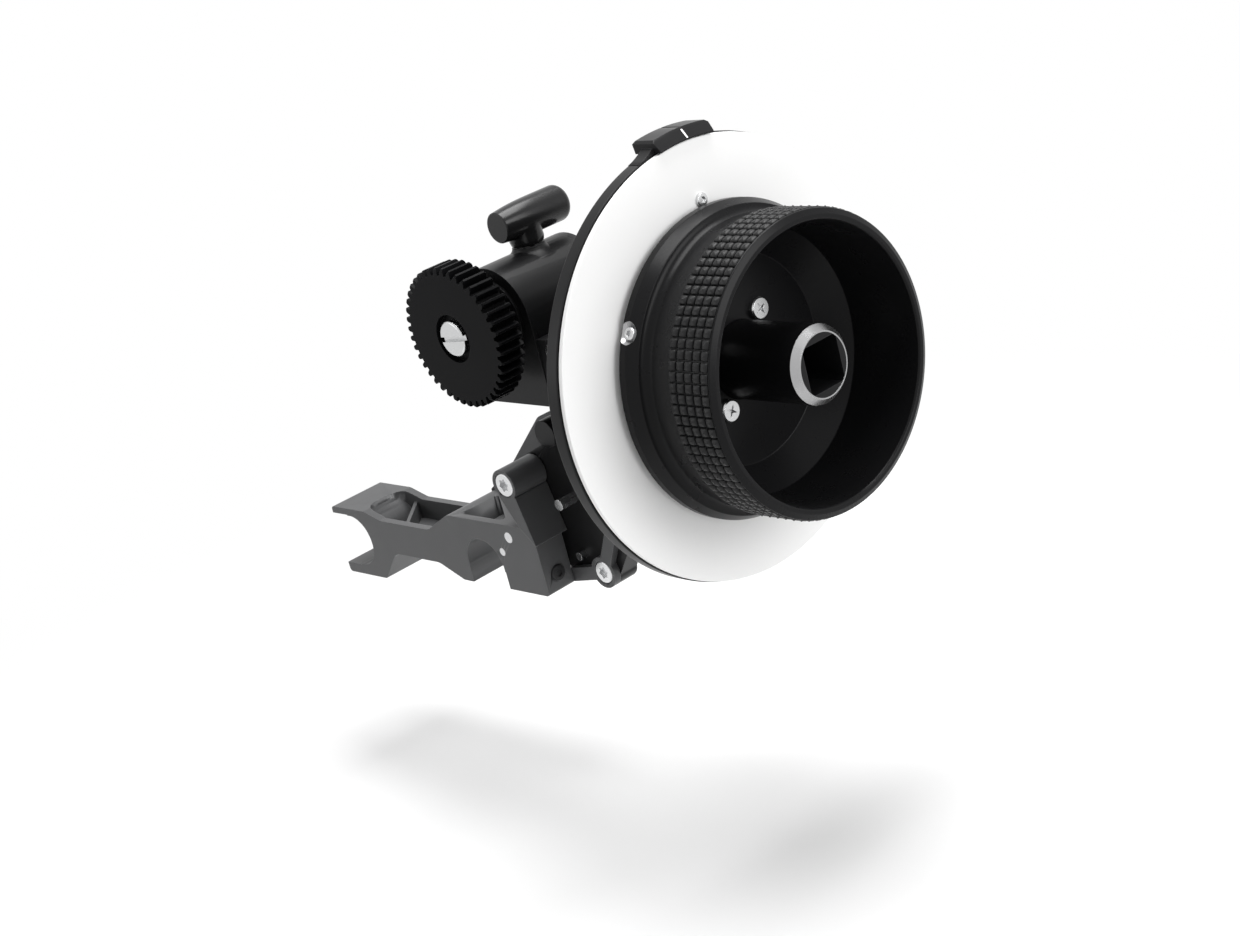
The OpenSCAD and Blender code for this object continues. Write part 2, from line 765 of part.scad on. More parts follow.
module pivot_pin() {
    color(steel) difference() {
        rod_y(pivot_x, pivot_z, bridge_y0 + pivot_head_t, plate_y1, pivot_r);
        rod_y(pivot_x, pivot_z, bridge_y0, bridge_y0 + pivot_head_t + pivot_screw_len, pivot_screw_r);
    }
}
module pivot_screw() {
    color(steel) translate([pivot_x, bridge_y0 + pivot_head_t, pivot_z]) rotate([90, 0, 0])
        screw(pivot_head_r, pivot_head_t, pivot_screw_r, pivot_screw_len) star_drive(pivot_head_r);
}
module plate_screw_holes() {
    for (x = plate_screw_xs)
        rod_y(x, plate_screw_z, plate_y1 - plate_screw_len, plate_y1 + cut, plate_screw_r);
}
module pivot_plate() {
    k = plate_reach_z;
    color(plate_grey) difference() {
        slab(bridge_y1, plate_y1) polygon(rounded([
            [pivot_x - plate_edge_x, bridge_top - plate_low, corner_r],
            [pivot_x - plate_edge_x, bridge_top, 0],
            [pivot_x + plate_shares[0][0] * k, pivot_z + plate_shares[0][1] * k, blend_r],
            [pivot_x + plate_shares[1][0] * k, pivot_z + plate_shares[1][1] * k, blend_r],
            [pivot_x + plate_shares[2][0] * k, pivot_z + plate_shares[2][1] * k, corner_r],
            [pivot_x + plate_shares[3][0] * k, pivot_z + plate_shares[3][1] * k, corner_r],
            [pivot_x + plate_shares[4][0] * k, pivot_z + plate_shares[4][1] * k, corner_r],
            [groove_r + arm_room, bridge_top - plate_low, 0]]));
        rod_y(pivot_x, pivot_z, bridge_y1 - cut, plate_y1 + cut, pivot_r);
        plate_screw_holes();
    }
}
module plate_screws() {
    color(steel) for (x = plate_screw_xs)
        translate([x, plate_y1, plate_screw_z]) rotate([-90, 0, 0])
            screw(plate_head_r, plate_head_t, plate_screw_r, plate_screw_len) hex_drive(plate_head_r);
}
module latch_screw() {
    color(steel) difference() {
        rod_x(latch_y, latch_screw_z, channel_x1, foot_end + latch_screw_out, latch_screw_r);
        translate([foot_end + latch_screw_out - latch_screw_r / 2, latch_y, latch_screw_z]) rotate([0, 90, 0])
            linear_extrude(latch_screw_r) hex_drive(latch_screw_r);
    }
}

// Outline of the arm from the pivot over the crest and the tenon to the lower screw
module arm_outline() {
    polygon(rounded([
        [pivot_x + arm_left, -arm_bottom, corner_r],
        [pivot_x + arm_heel, pivot_z - arm_heel_drop, blend_r],
        [pivot_x - arm_eye_r + arm_tuck, pivot_z, corner_r],
        [pivot_x - arm_eye_r / 2, pivot_z + arm_eye_r - arm_skim, 0],
        [pivot_x + crest_x, pivot_z + crest_z, 0],
        [saddle_x0, saddle_z0 + tenon_h, 0],
        [saddle_x0 + tenon_len, saddle_z0 + tenon_h, 0],
        [saddle_x0 + tenon_len, saddle_z0, 0],
        [stay_x + stay_eye_r - arm_skim, stay_z - arm_tuck, corner_r],
        [stay_x, stay_z - stay_eye_r, 0]]));
}
module swing_arm() {
    color(black) difference() {
        union() {
            slab(arm_y0, arm_y1) arm_outline();
            rod_y(pivot_x, pivot_z, arm_y0, arm_y1, arm_eye_r);
            rod_y(stay_x, stay_z, arm_y0, arm_y1, stay_eye_r);
            rod_y(pivot_x + boss_x, pivot_z + boss_z, arm_y0 - boss_h, arm_y1, boss_r);
        }
        rod_y(pivot_x, pivot_z, arm_y0 - cut, arm_y1 + cut, pivot_r + fit_gap);
        rod_y(stay_x, stay_z, arm_y0 - cut, arm_y1 + cut, saddle_cross_r);
        rod_y(pivot_x + peg_x, pivot_z - peg_drop, arm_y0 - cut, arm_y1 + cut, peg_r);
        rod_y(pivot_x + small_peg_x, pivot_z - small_peg_drop, arm_y0 - cut, arm_y1 + cut, small_peg_r);
        for (x = saddle_cross_xs)
            rod_y(x, saddle_z0 + tenon_h / 2, arm_y0 - cut, arm_y1 + cut, saddle_cross_r);
    }
}
module arm_pins() {
    color(steel) {
        rod_y(pivot_x + peg_x, pivot_z - peg_drop, arm_y0 - peg_len, arm_y1, peg_r);
        rod_y(pivot_x + small_peg_x, pivot_z - small_peg_drop, arm_y0 - small_peg_len, arm_y1, small_peg_r);
    }
}
// Straight strip of the stay plate between two points
module strip(a, b, w) {
    n = unit2([b[1] - a[1], a[0] - b[0]]) * w / 2;
    polygon([a + n, b + n, b - n, a - n]);
}
module stay_plate() {
    eye = [stay_x, stay_z];
    top = [saddle_x0 + stay_top_share * saddle_len, saddle_z0];
    color(plate_grey) difference() {
        union() {
            slab(stay_y0, arm_y0) union() {
                strip(eye, eye - [bar_len, bar_fall], stay_w);
                strip(eye, top + unit2(top - eye) * stay_w / 2, stay_w);
            }
            rod_y(stay_x, stay_z, stay_y0, arm_y0, stay_eye_r);
        }
        rod_y(stay_x, stay_z, stay_y0 - cut, arm_y0 + cut, saddle_cross_r);
        rod_y(stay_x, stay_z, stay_y0 - cut, stay_y0 + stay_head_t, stay_head_r);
        // Level upper end against the underside of the saddle
        translate([stay_x, stay_y0 - cut, saddle_z0]) cube([saddle_len, stay_t + 2 * cut, stay_w]);
    }
}
module stay_screw() {
    color(steel) translate([stay_x, stay_y0 + stay_head_t, stay_z]) rotate([90, 0, 0])
        screw(stay_head_r, stay_head_t, saddle_cross_r, arm_y1 - stay_y0 - stay_head_t) star_drive(stay_head_r);
}

module hub_saddle() {
    color(black) difference() {
        translate([saddle_x0, saddle_y0, saddle_z0])
            cube([saddle_len, saddle_y1 - saddle_y0, saddle_drop - hub_r + saddle_rise]);
        on_wheel() rod_x(0, 0, saddle_x0 - cut, saddle_x1 + cut, hub_r);
        // Slot for the arm's tenon
        translate([saddle_x0 - cut, arm_y0, saddle_z0 - cut])
            cube([tenon_len + cut, arm_y1 - arm_y0, tenon_h + cut]);
        for (x = saddle_cross_xs) {
            rod_y(x, saddle_z0 + tenon_h / 2, saddle_y0 - cut, saddle_y0 + saddle_cross_len, saddle_cross_r);
            rod_y(x, saddle_z0 + tenon_h / 2, saddle_y0 - cut, saddle_y0 + saddle_cross_head_t,
                saddle_cross_head_r);
        }
        for (x = saddle_bolt_xs) {
            translate([x, saddle_bolt_y, saddle_z0 - cut]) cylinder(h = saddle_drop, r = saddle_bolt_r);
            translate([x, saddle_bolt_y, saddle_z0 - cut])
                cylinder(h = saddle_bolt_head_t + cut, r = saddle_bolt_head_r);
        }
    }
}
module saddle_screws() {
    color(steel) {
        for (x = saddle_cross_xs)
            translate([x, saddle_y0 + saddle_cross_head_t, saddle_z0 + tenon_h / 2]) rotate([90, 0, 0])
                screw(saddle_cross_head_r, saddle_cross_head_t, saddle_cross_r,
                    saddle_cross_len - saddle_cross_head_t) hex_drive(saddle_cross_head_r);
        for (x = saddle_bolt_xs)
            translate([x, saddle_bolt_y, saddle_z0 + saddle_bolt_head_t]) rotate([180, 0, 0])
                screw(saddle_bolt_head_r, saddle_bolt_head_t, saddle_bolt_r, saddle_bolt_len)
                    hex_drive(saddle_bolt_head_r);
    }
}
module hub() {
    color(black) difference() {
        union() {
            on_wheel() turned_x([
                [house_x1 - spigot_len, hub_bore_r],
                [house_x1 - spigot_len, chamber_r],
                [house_x1, chamber_r],
                [house_x1, hub_r],
                [collar_x, hub_r],
                [collar_x, collar_r],
                [collar_x + collar_t, collar_r],
                [collar_x + collar_t, hub_r],
                [hub_front, hub_r],
                [hub_front, front_brg_r],
                [front_brg_x, front_brg_r],
                [front_brg_x, hub_bore_r]]);
            // Ear towards the front, screwed to the housing
            translate([house_x1, wheel_y - ear_end, wheel_z - ear_h])
                cube([ear_t, ear_end - ear_in, 2 * ear_h]);
        }
        for (z = [-ear_z, ear_z])
            rod_x(wheel_y - ear_y, wheel_z + z, house_x1 - cut, house_x1 + ear_t + cut, ear_screw_r);
        for (x = saddle_bolt_xs) translate([x, saddle_bolt_y, saddle_z0])
            cylinder(h = saddle_bolt_tip - saddle_z0, r = saddle_bolt_r);
    }
}
module hub_screws() {
    color(steel) for (z = [-ear_z, ear_z])
        translate([house_x1 + ear_t, wheel_y - ear_y, wheel_z + z]) rotate([0, 90, 0])
            screw(ear_head_r, ear_head_t, ear_screw_r, ear_screw_len) hex_drive(ear_head_r);
}

// Section of the housing: round top about the drive axis over a flat-sided lower part
function house_section() = concat(
    [for (a = [0:house_step:180]) [drive_x, drive_z] + house_r * [cos(a), sin(a)]],
    [[house_x0, wheel_z - house_drop + edge_r], [house_x0 + edge_r, wheel_z - house_drop],
     [house_x1 - edge_r, wheel_z - house_drop], [house_x1, wheel_z - house_drop + edge_r]]);
module gearbox_housing() {
    crown = drive_z + house_r;
    color(black) difference() {
        union() {
            slab(house_y0, house_y1) polygon(house_section());
            // Flared collar under the lever's neck
            translate([drive_x, lever_y, 0]) rotate_extrude() polygon(concat(
                [[0, crown - lever_flare_drop - cut], [lever_flare_r, crown - lever_flare_drop - cut]],
                [for (t = [0:flare_step:1])
                    [neck_r + (lever_flare_r - neck_r) * pow(1 - t, 2),
                     crown - lever_flare_drop + (lever_flare_drop + lever_boss_h) * t]],
                [[0, crown + lever_boss_h]]));
        }
        rod_y(drive_x, drive_z, house_y0 - cut, house_y1 + cut, sleeve_r);
        on_wheel() rod_x(0, 0, rear_brg_x + rear_brg_w, house_x1 + cut, chamber_r);
        on_wheel() rod_x(0, 0, rear_brg_x, rear_brg_x + rear_brg_w + cut, rear_brg_r);
        translate([drive_x, lever_y, drive_z]) cylinder(h = sleeve_r + pad_t, r = pad_r);
        translate([drive_x, lever_y, drive_z]) cylinder(h = 2 * house_r, r = stud_r + fit_gap);
        for (z = [-ear_z, ear_z])
            rod_x(wheel_y - ear_y, wheel_z + z, house_x1 + ear_t - ear_screw_len, house_x1 + cut, ear_screw_r);
        cover_screw_holes();
    }
}
module cover_screw_holes() {
    for (p = cover_screw_places)
        rod_y(p[0], p[1], cover_y1 - cover_screw_len - cover_t, cover_y1 + cut, cover_screw_r);
}
module rear_cover() {
    color(satin_black) difference() {
        slab(house_y1, cover_y1) polygon(house_section());
        rod_y(drive_x, drive_z, house_y1 - cut, house_y1 + cover_recess, cover_recess_r);
        cover_screw_holes();
    }
}
module cover_screws() {
    color(steel) for (p = cover_screw_places)
        translate([p[0], cover_y1, p[1]]) rotate([-90, 0, 0])
            screw(cover_head_r, cover_head_t, cover_screw_r, cover_screw_len + cover_t) hex_drive(cover_head_r);
}
module drive_sleeve() {
    color(satin_black) difference() {
        on_drive() turned_y([
            [sleeve_y0, sleeve_in_r],
            [sleeve_y0, sleeve_r],
            [house_y1, sleeve_r],
            [house_y1, small_brg_r],
            [rear_brg_y, small_brg_r],
            [rear_brg_y, sleeve_in_r]]);
        // Window through which the gears mesh
        on_wheel() rod_x(0, 0, drive_x - window_len / 2, drive_x + window_len / 2, chamber_r);
    }
}
module sleeve_cap() {
    color(satin_black) on_drive() turned_y([
        [sleeve_y0, cap_bore_r],
        [sleeve_y0, sleeve_in_r],
        [sleeve_y0 + cap_len, sleeve_in_r],
        [sleeve_y0 + cap_len, small_brg_r],
        [front_brg_y, small_brg_r],
        [front_brg_y, cap_bore_r]]);
}

// Ball bearing along Z, from bore radius, outer radius and width
function ball_r(r_in, r_out) = ball_share * (r_out - r_in);
module outer_race(r_in, r_out, w) {
    mid = (r_in + r_out) / 2;
    difference() {
        cylinder(h = w, r = r_out);
        translate([0, 0, -cut]) cylinder(h = w + 2 * cut, r = r_out - race_share * (r_out - r_in));
        translate([0, 0, w / 2]) rotate_extrude() translate([mid, 0])
            circle(r = ball_r(r_in, r_out) + ball_gap);
    }
}
module inner_race(r_in, r_out, w) {
    mid = (r_in + r_out) / 2;
    difference() {
        cylinder(h = w, r = r_in + race_share * (r_out - r_in));
        translate([0, 0, -cut]) cylinder(h = w + 2 * cut, r = r_in);
        translate([0, 0, w / 2]) rotate_extrude() translate([mid, 0])
            circle(r = ball_r(r_in, r_out) + ball_gap);
    }
}
module balls(r_in, r_out, w) {
    mid = (r_in + r_out) / 2;
    n = floor(PI * mid / (ball_pitch_share * ball_r(r_in, r_out)));
    for (i = [0:n - 1]) rotate(360 / n * i) translate([mid, 0, w / 2]) sphere(r = ball_r(r_in, r_out));
}
module at_small_bearings() {
    for (y = [front_brg_y, rear_brg_y]) on_drive() along_y(y) children();
}
module bearing_outer_rings() {
    color(steel) {
        at_small_bearings() outer_race(small_brg_in, small_brg_r, small_brg_w);
        on_wheel() along_x(rear_brg_x) outer_race(shaft_r, rear_brg_r, rear_brg_w);
        on_wheel() along_x(front_brg_x) outer_race(shaft_r, front_brg_r, front_brg_w);
    }
}
module bearing_balls() {
    color(steel) {
        at_small_bearings() balls(small_brg_in, small_brg_r, small_brg_w);
        on_wheel() along_x(rear_brg_x) balls(shaft_r, rear_brg_r, rear_brg_w);
        on_wheel() along_x(front_brg_x) balls(shaft_r, front_brg_r, front_brg_w);
    }
}
module drive_inner_rings() {
    color(steel) at_small_bearings() inner_race(small_brg_in, small_brg_r, small_brg_w);
}
module wheel_inner_rings() {
    color(steel) {
        on_wheel() along_x(rear_brg_x) inner_race(shaft_r, rear_brg_r, rear_brg_w);
        on_wheel() along_x(front_brg_x) inner_race(shaft_r, front_brg_r, front_brg_w);
    }
}

// Helical gear along Z, with the phase of its teeth given at its middle, z = 0
module helical(width, phase) {
    linear_extrude(height = width, center = true, twist = -twist_per_len * width,
        slices = ceil(width / helix_slice))
        rotate(phase - twist_per_len * width / 2)
            polygon(gear_outline(helix_teeth, helix_root, helix_r, helix_tip, helix_foot_share,
                helix_mid_share, helix_top_share));
}
module drive_helical_gear() {
    color(steel) on_drive() along_y(wheel_y) difference() {
        union() {
            helical(drive_helix_w, drive_phase);
            translate([0, 0, drive_helix_w / 2 - cut]) cylinder(h = boss_step + cut, r = gear_boss_r);
        }
        translate([0, 0, -drive_helix_w]) cylinder(h = 2 * drive_helix_w, r = small_brg_in);
    }
}
module wheel_helical_gear() {
    color(steel) on_wheel() along_x(drive_x) difference() {
        helical(helix_w, wheel_phase);
        translate([0, 0, -helix_w]) cylinder(h = 2 * helix_w, r = shaft_r);
    }
}
module drive_shaft() {
    color(steel) on_drive() difference() {
        turned_y([
            [seat_y, 0],
            [seat_y, small_brg_in],
            [drive_shaft_y1, small_brg_in],
            [drive_shaft_y1, shaft_head_r],
            [drive_shaft_y1 + shaft_head_t, shaft_head_r],
            [drive_shaft_y1 + shaft_head_t, 0]]);
        rod_y(0, 0, seat_y - cut, seat_y + gear_screw_len, gear_screw_r);
    }
}
module drive_spacer() {
    y0 = front_brg_y + small_brg_w;
    color(steel) on_drive() along_y(y0) difference() {
        cylinder(h = wheel_y - drive_helix_w / 2 - y0, r = gear_boss_r);
        translate([0, 0, -cut]) cylinder(h = wheel_y, r = small_brg_in);
    }
}
module drive_gear() {
    color(black) on_drive() difference() {
        union() {
            slab(gear_y0, gear_y1) polygon(gear_outline(gear_teeth, gear_root_r, gear_pitch_r, gear_tip_r,
                tooth_foot_share, tooth_mid_share, tooth_top_share));
            rod_y(0, 0, gear_y1 - cut, front_brg_y, gear_boss_r);
        }
        rod_y(0, 0, gear_y0 - cut, front_brg_y + cut, small_brg_in);
        rod_y(0, 0, gear_y0 - cut, seat_y, gear_recess_r);
    }
}
module gear_screw() {
    color(steel) on_drive() translate([0, seat_y, 0]) rotate([90, 0, 0])
        screw(gear_screw_d / 2, gear_screw_head_t, gear_screw_r, gear_screw_len) rotate(slot_angle)
            slot_drive(gear_screw_d / 2);
}

module clamp_pad() {
    color(brass) difference() {
        translate([drive_x, lever_y, drive_z]) cylinder(h = sleeve_r + pad_t, r = pad_r);
        rod_y(drive_x, drive_z, house_y0, house_y1, sleeve_r);
    }
}
module clamp_stud() {
    color(steel) translate([drive_x, lever_y, drive_z + sleeve_r + pad_t])
        cylinder(h = neck_z0 + stud_in - drive_z - sleeve_r - pad_t, r = stud_r);
}
module clamp_lever() {
    y0 = -barrel_near;
    y1 = barrel_len - barrel_near;
    color(black) translate([drive_x, lever_y, 0]) difference() {
        union() {
            translate([0, 0, neck_z0]) cylinder(h = barrel_axis_z - neck_z0, r = neck_r);
            translate([0, 0, barrel_axis_z]) turned_y(concat(
                [[y0, 0], [y0, barrel_near_share * barrel_r - lip_bevel],
                 [y0 + lip_bevel, barrel_near_share * barrel_r]],
                [for (a = [0:arc_step:90])
                    [y1 - barrel_round * (1 - sin(a)), barrel_r - barrel_round * (1 - cos(a))]],
                [[y1, 0]]));
        }
        translate([0, 0, neck_z0 - cut]) cylinder(h = stud_in + cut, r = stud_r);
    }
}

module wheel_shaft() {
    color(steel) on_wheel() difference() {
        turned_x([
            [rear_brg_x + fit_gap, 0],
            [rear_brg_x + fit_gap, shaft_r],
            [front_brg_x + front_brg_w, shaft_r],
            [front_brg_x + front_brg_w, shoulder_r],
            [flange_x0, shoulder_r],
            [flange_x0, shaft_flange_r],
            [carrier_x0, shaft_flange_r],
            [carrier_x0, spacer_r],
            [disc_x0, spacer_r],
            [disc_x0, 0]]);
        rod_x(0, 0, centre_seat_x - centre_screw_len, knob_x0 + cut, centre_screw_r);
        for (a = flange_screw_angles) rotate([a, 0, 0])
            rod_x(flange_screw_circle, 0, flange_x0 - cut, carrier_x0 + cut, flange_screw_r);
    }
}
module wheel_spacers() {
    color(steel) on_wheel() for (x = [[rear_brg_x + rear_brg_w, helix_x0], [helix_x1, front_brg_x]])
        along_x(x[0]) difference() {
            cylinder(h = x[1] - x[0], r = spacer_r);
            translate([0, 0, -cut]) cylinder(h = x[1] - x[0] + 2 * cut, r = shaft_r);
        }
}
module disc_carrier() {
    color(satin_black) on_wheel() difference() {
        turned_x([
            [carrier_x0, spacer_r],
            [carrier_x0, carrier_r],
            [disc_x0, carrier_r],
            [disc_x0, disc_spigot_r],
            [knob_x0, disc_spigot_r],
            [knob_x0, spacer_r]]);
        for (a = flange_screw_angles) rotate([a, 0, 0]) {
            rod_x(flange_screw_circle, 0, carrier_x0 - cut, knob_x0 + cut, flange_screw_r);
            rod_x(flange_screw_circle, 0, knob_x0 - flange_head_t, knob_x0 + cut, flange_head_r);
        }
        for (a = knob_screw_angles) rotate([a, 0, 0])
            rod_x(knob_screw_circle, 0, carrier_x0 - cut, knob_x0 + cut, knob_screw_r);
        rotate([disc_pin_a, 0, 0]) rod_x(disc_pin_circle, 0, carrier_x0 - cut, disc_x0 + cut, disc_pin_r);
    }
}
module flange_screws() {
    color(steel) on_wheel() for (a = flange_screw_angles) rotate([a, 0, 0])
        translate([knob_x0 - flange_head_t, flange_screw_circle, 0]) rotate([0, 90, 0])
            screw(flange_head_r, flange_head_t, flange_screw_r, knob_x0 - flange_head_t - flange_x0)
                hex_drive(flange_head_r);
}
module index_ring() {
    color(black) on_wheel() turned_x([
        [ring_web_x, hub_r + fit_gap],
        [ring_web_x, rim_in_r + cup_wall],
        [rim_x0, rim_in_r + cup_wall],
        [rim_x0, ring_r - lip_bevel],
        [rim_x0 + lip_bevel, ring_r],
        [rim_x1 - lip_bevel, ring_r],
        [rim_x1, ring_r - lip_bevel],
        [rim_x1, rim_in_r],
        [ring_web_x + web_t, rim_in_r],
        [ring_web_x + web_t, hub_r + fit_gap]]);
}
// Slice across the wheel axis between two places along it
module across(x0, x1) {
    translate([x0, 0, 0]) rotate([90, 0, 90]) linear_extrude(x1 - x0) children();
}
module arc_band(r0, r1, a0, a1) {
    polygon(concat(
        [for (i = [0:band_steps]) let (a = a0 + (a1 - a0) * i / band_steps) r0 * [cos(a), sin(a)]],
        [for (i = [band_steps:-1:0]) let (a = a0 + (a1 - a0) * i / band_steps) r1 * [cos(a), sin(a)]]));
}
module pointer() {
    x1 = rim_x1 + pointer_front;
    x0 = rim_x0 - pointer_back;
    top = ring_r + pointer_h;
    color(black) on_wheel() difference() {
        union() {
            hull() {
                across(x0, x1) arc_band(ring_r, ring_r + pointer_foot_h, pointer_a0, pointer_a1);
                across(x0, x1 - pointer_slope_w + lip_bevel)
                    arc_band(ring_r, top - lip_bevel, pointer_a0, pointer_a1);
                across(x0 + lip_bevel, x1 - pointer_slope_w) arc_band(ring_r, top, pointer_a0 + pointer_end_a,
                    pointer_a1 - pointer_end_a);
            }
            across(rim_x0, rim_x1) pointer_tail();
        }
        rod_x(0, 0, x0 - cut, x1 + cut, ring_r);
        index_groove(cut);
        // Narrow groove across the top, in line with the white line
        rotate([pointer_line_a, 0, 0]) translate([x0 - cut, top - line_t, -line_w / 2])
            cube([x1 - pointer_slope_w - x0 + cut, line_t + cut, line_w]);
    }
}
// Hollow tail by which the pointer's end runs out on the ring
module pointer_tail() {
    polygon(concat(
        [for (i = [0:band_steps]) let (t = i / band_steps, a = pointer_a1 + tail_a * t)
            (ring_r + tail_h * pow(1 - t, 2)) * [cos(a), sin(a)]],
        [(ring_r - tail_h) * [cos(pointer_a1 + tail_a), sin(pointer_a1 + tail_a)],
         (ring_r - tail_h) * [cos(pointer_a1 - pointer_end_a), sin(pointer_a1 - pointer_end_a)],
         (ring_r + tail_h) * [cos(pointer_a1 - pointer_end_a), sin(pointer_a1 - pointer_end_a)]]));
}
// Groove in the sloping front face, from its foot to its top edge
module index_groove(extra = 0) {
    foot = [rim_x1 + pointer_front, ring_r + pointer_foot_h];
    head = [rim_x1 + pointer_front - pointer_slope_w + lip_bevel, ring_r + pointer_h - lip_bevel];
    out = unit2([head[1] - foot[1], foot[0] - head[0]]);
    rotate([pointer_line_a, 0, 0]) translate([0, 0, -line_w / 2]) linear_extrude(line_w)
        polygon([foot + out * extra, head + out * extra, head - out * line_t, foot - out * line_t]);
}
module index_line() {
    color(white) on_wheel() index_groove();
}
module index_washer() {
    color(brass) on_wheel() along_x(nut_x0 - washer_t + fit_gap) difference() {
        cylinder(h = washer_t - fit_gap, r = nut_r);
        translate([0, 0, -cut]) cylinder(h = web_t, r = hub_r);
    }
}
module ring_nut() {
    color(steel) on_wheel() along_x(nut_x0) difference() {
        cylinder(h = nut_t, r = nut_r);
        translate([0, 0, -cut]) cylinder(h = nut_t + 2 * cut, r = hub_r);
    }
}
module marking_disc() {
    color(white) on_wheel() difference() {
        rod_x(0, 0, disc_x0, knob_x0, disc_d / 2);
        rod_x(0, 0, disc_x0 - cut, knob_x0 + cut, disc_spigot_r);
        rotate([disc_pin_a, 0, 0]) rod_x(disc_pin_circle, 0, disc_x0 - cut, knob_x0 + cut, disc_pin_r);
    }
}
module disc_pin() {
    color(steel) on_wheel() rotate([disc_pin_a, 0, 0])
        translate([knob_x0, disc_pin_circle, 0]) rotate([0, 90, 0])
            screw(disc_pin_head_r, disc_pin_head_t, disc_pin_r, knob_x0 - carrier_x0)
                hex_drive(disc_pin_head_r);
}
module set_screws() {
    color(steel) on_wheel() for (a = set_screw_angles) rotate([a, 0, 0]) difference() {
        rod_y(set_screw_x, 0, set_screw_top_r - set_screw_len, set_screw_top_r, set_screw_r);
        translate([set_screw_x, set_screw_top_r - set_screw_r, 0]) rotate([-90, 0, 0])
            linear_extrude(2 * set_screw_r) hex_drive(set_screw_r);
    }
}
module hand_knob() {
    slope_x = knob_x0 + flange_back + flange_rim_w + flange_fall_len;
    fillet_r = flange_r - flange_fall - skirt_r;
    skirt_x = slope_x + fillet_r;
    sink_t = sink_r - set_screw_r;
    color(black) on_wheel() difference() {
        turned_x(concat(
            [[knob_x0, tube_r], [knob_x0, flange_r - flange_back], [knob_x0 + flange_back, flange_r],
             [knob_x0 + flange_back + flange_rim_w, flange_r]],
            // Hollow skirt: a fillet, then a slow rise to the knurled band
            [for (a = [0:arc_step:90]) [skirt_x - fillet_r * cos(a), skirt_r + fillet_r * (1 - sin(a))]],
            [for (t = [skirt_step:skirt_step:1])
                [skirt_x + (grip_x0 - skirt_x) * t, skirt_r + (band_r - skirt_r) * t * t]],
            [[grip_x1, band_r], [grip_x1, knob_r - lip_bevel],
             [knob_x1 - lip_bevel, knob_r - rim_bevel + lip_bevel], [knob_x1, knob_r - rim_bevel],
             [knob_x1, cup_r + lip_bevel], [knob_x1 - lip_bevel, cup_r], [knob_x0 + cup_knee, cup_wall_in_r],
             [knob_x0 + floor_t, cup_deep_r], [knob_x0 + floor_t, tube_r]]));
        for (a = set_screw_angles) rotate([a, 0, 0]) {
            rod_y(set_screw_x, 0, set_screw_top_r - set_screw_len, flange_r, set_screw_r);
            translate([set_screw_x, flange_r - sink_t, 0]) rotate([-90, 0, 0])
                cylinder(h = sink_t + cut, r1 = set_screw_r, r2 = sink_r + cut);
        }
        for (a = knob_screw_angles) rotate([a, 0, 0])
            rod_x(knob_screw_circle, 0, knob_x0 - cut, knob_x0 + floor_t + cut, knob_screw_r);
    }
}
// Knurled band: rows of small pyramids round a plain inner wall
function knurl_point(x, r, i) = [x, r * cos(360 * i / knurl_rows), r * sin(360 * i / knurl_rows)];
module grip_ring() {
    r_in = (band_r + fit_gap) / cos(180 / knurl_rows);
    step = grip_len / knurl_cols;
    base = [for (c = [0:knurl_cols]) for (i = [0:knurl_rows - 1])
        knurl_point(grip_x0 + c * step, band_r + knurl_base_share * knurl_h, i)];
    tips = [for (c = [0:knurl_cols - 1]) for (i = [0:knurl_rows - 1])
        knurl_point(grip_x0 + (c + 0.5) * step, knob_r, i + 0.5)];
    bore = [for (x = [grip_x0, grip_x1]) for (i = [0:knurl_rows - 1]) knurl_point(x, r_in, i)];
    nb = len(base);
    nt = nb + len(tips);
    far = knurl_cols * knurl_rows;
    color(satin_black) on_wheel() polyhedron(points = concat(base, tips, bore), faces = [
        for (c = [0:knurl_cols - 1]) for (i = [0:knurl_rows - 1])
            let (j = (i + 1) % knurl_rows, a = c * knurl_rows + i, b = c * knurl_rows + j,
                 d = (c + 1) * knurl_rows + i, e = (c + 1) * knurl_rows + j, t = nb + c * knurl_rows + i)
            each [[a, t, b], [b, t, e], [e, t, d], [d, t, a]],
        for (i = [0:knurl_rows - 1])
            let (j = (i + 1) % knurl_rows, p = nt + i, q = nt + j, s = nt + knurl_rows + i,
                 u = nt + knurl_rows + j)
            each [[p, q, u], [p, u, s], [i, j, q], [i, q, p], [far + j, far + i, s], [far + j, s, u]]]);
}
module socket_tube() {
    color(black) on_wheel() difference() {
        turned_x([
            [knob_x0, centre_screw_r],
            [knob_x0, tube_r],
            [tube_x1 - tube_bevel, tube_r],
            [tube_x1, tube_r - tube_bevel],
            [tube_x1, 0],
            [centre_seat_x, 0],
            [centre_seat_x, centre_screw_r]]);
        translate([tube_x1 - socket_depth, 0, 0]) rotate([0, 90, 0]) linear_extrude(socket_depth + cut)
            intersection() {
                square(socket_side, center = true);
                circle(r = socket_corner_r);
            }
        rod_x(0, 0, centre_seat_x, tube_x1 - socket_depth + cut, tube_room_r);
    }
}
module centre_screw() {
    color(steel) on_wheel() translate([centre_seat_x, 0, 0]) rotate([0, 90, 0])
        screw(centre_head_r, centre_head_t, centre_screw_r, centre_screw_len) hex_drive(centre_head_r);
}
module knob_screws() {
    color(steel) on_wheel() for (a = knob_screw_angles) rotate([a, 0, 0])
        translate([knob_x0 + floor_t, knob_screw_circle, 0]) rotate([0, 90, 0])
            screw(knob_screw_head_r, knob_screw_head_t, knob_screw_r, floor_t + disc_t + carrier_t)
                cross_drive(knob_screw_head_r);
}

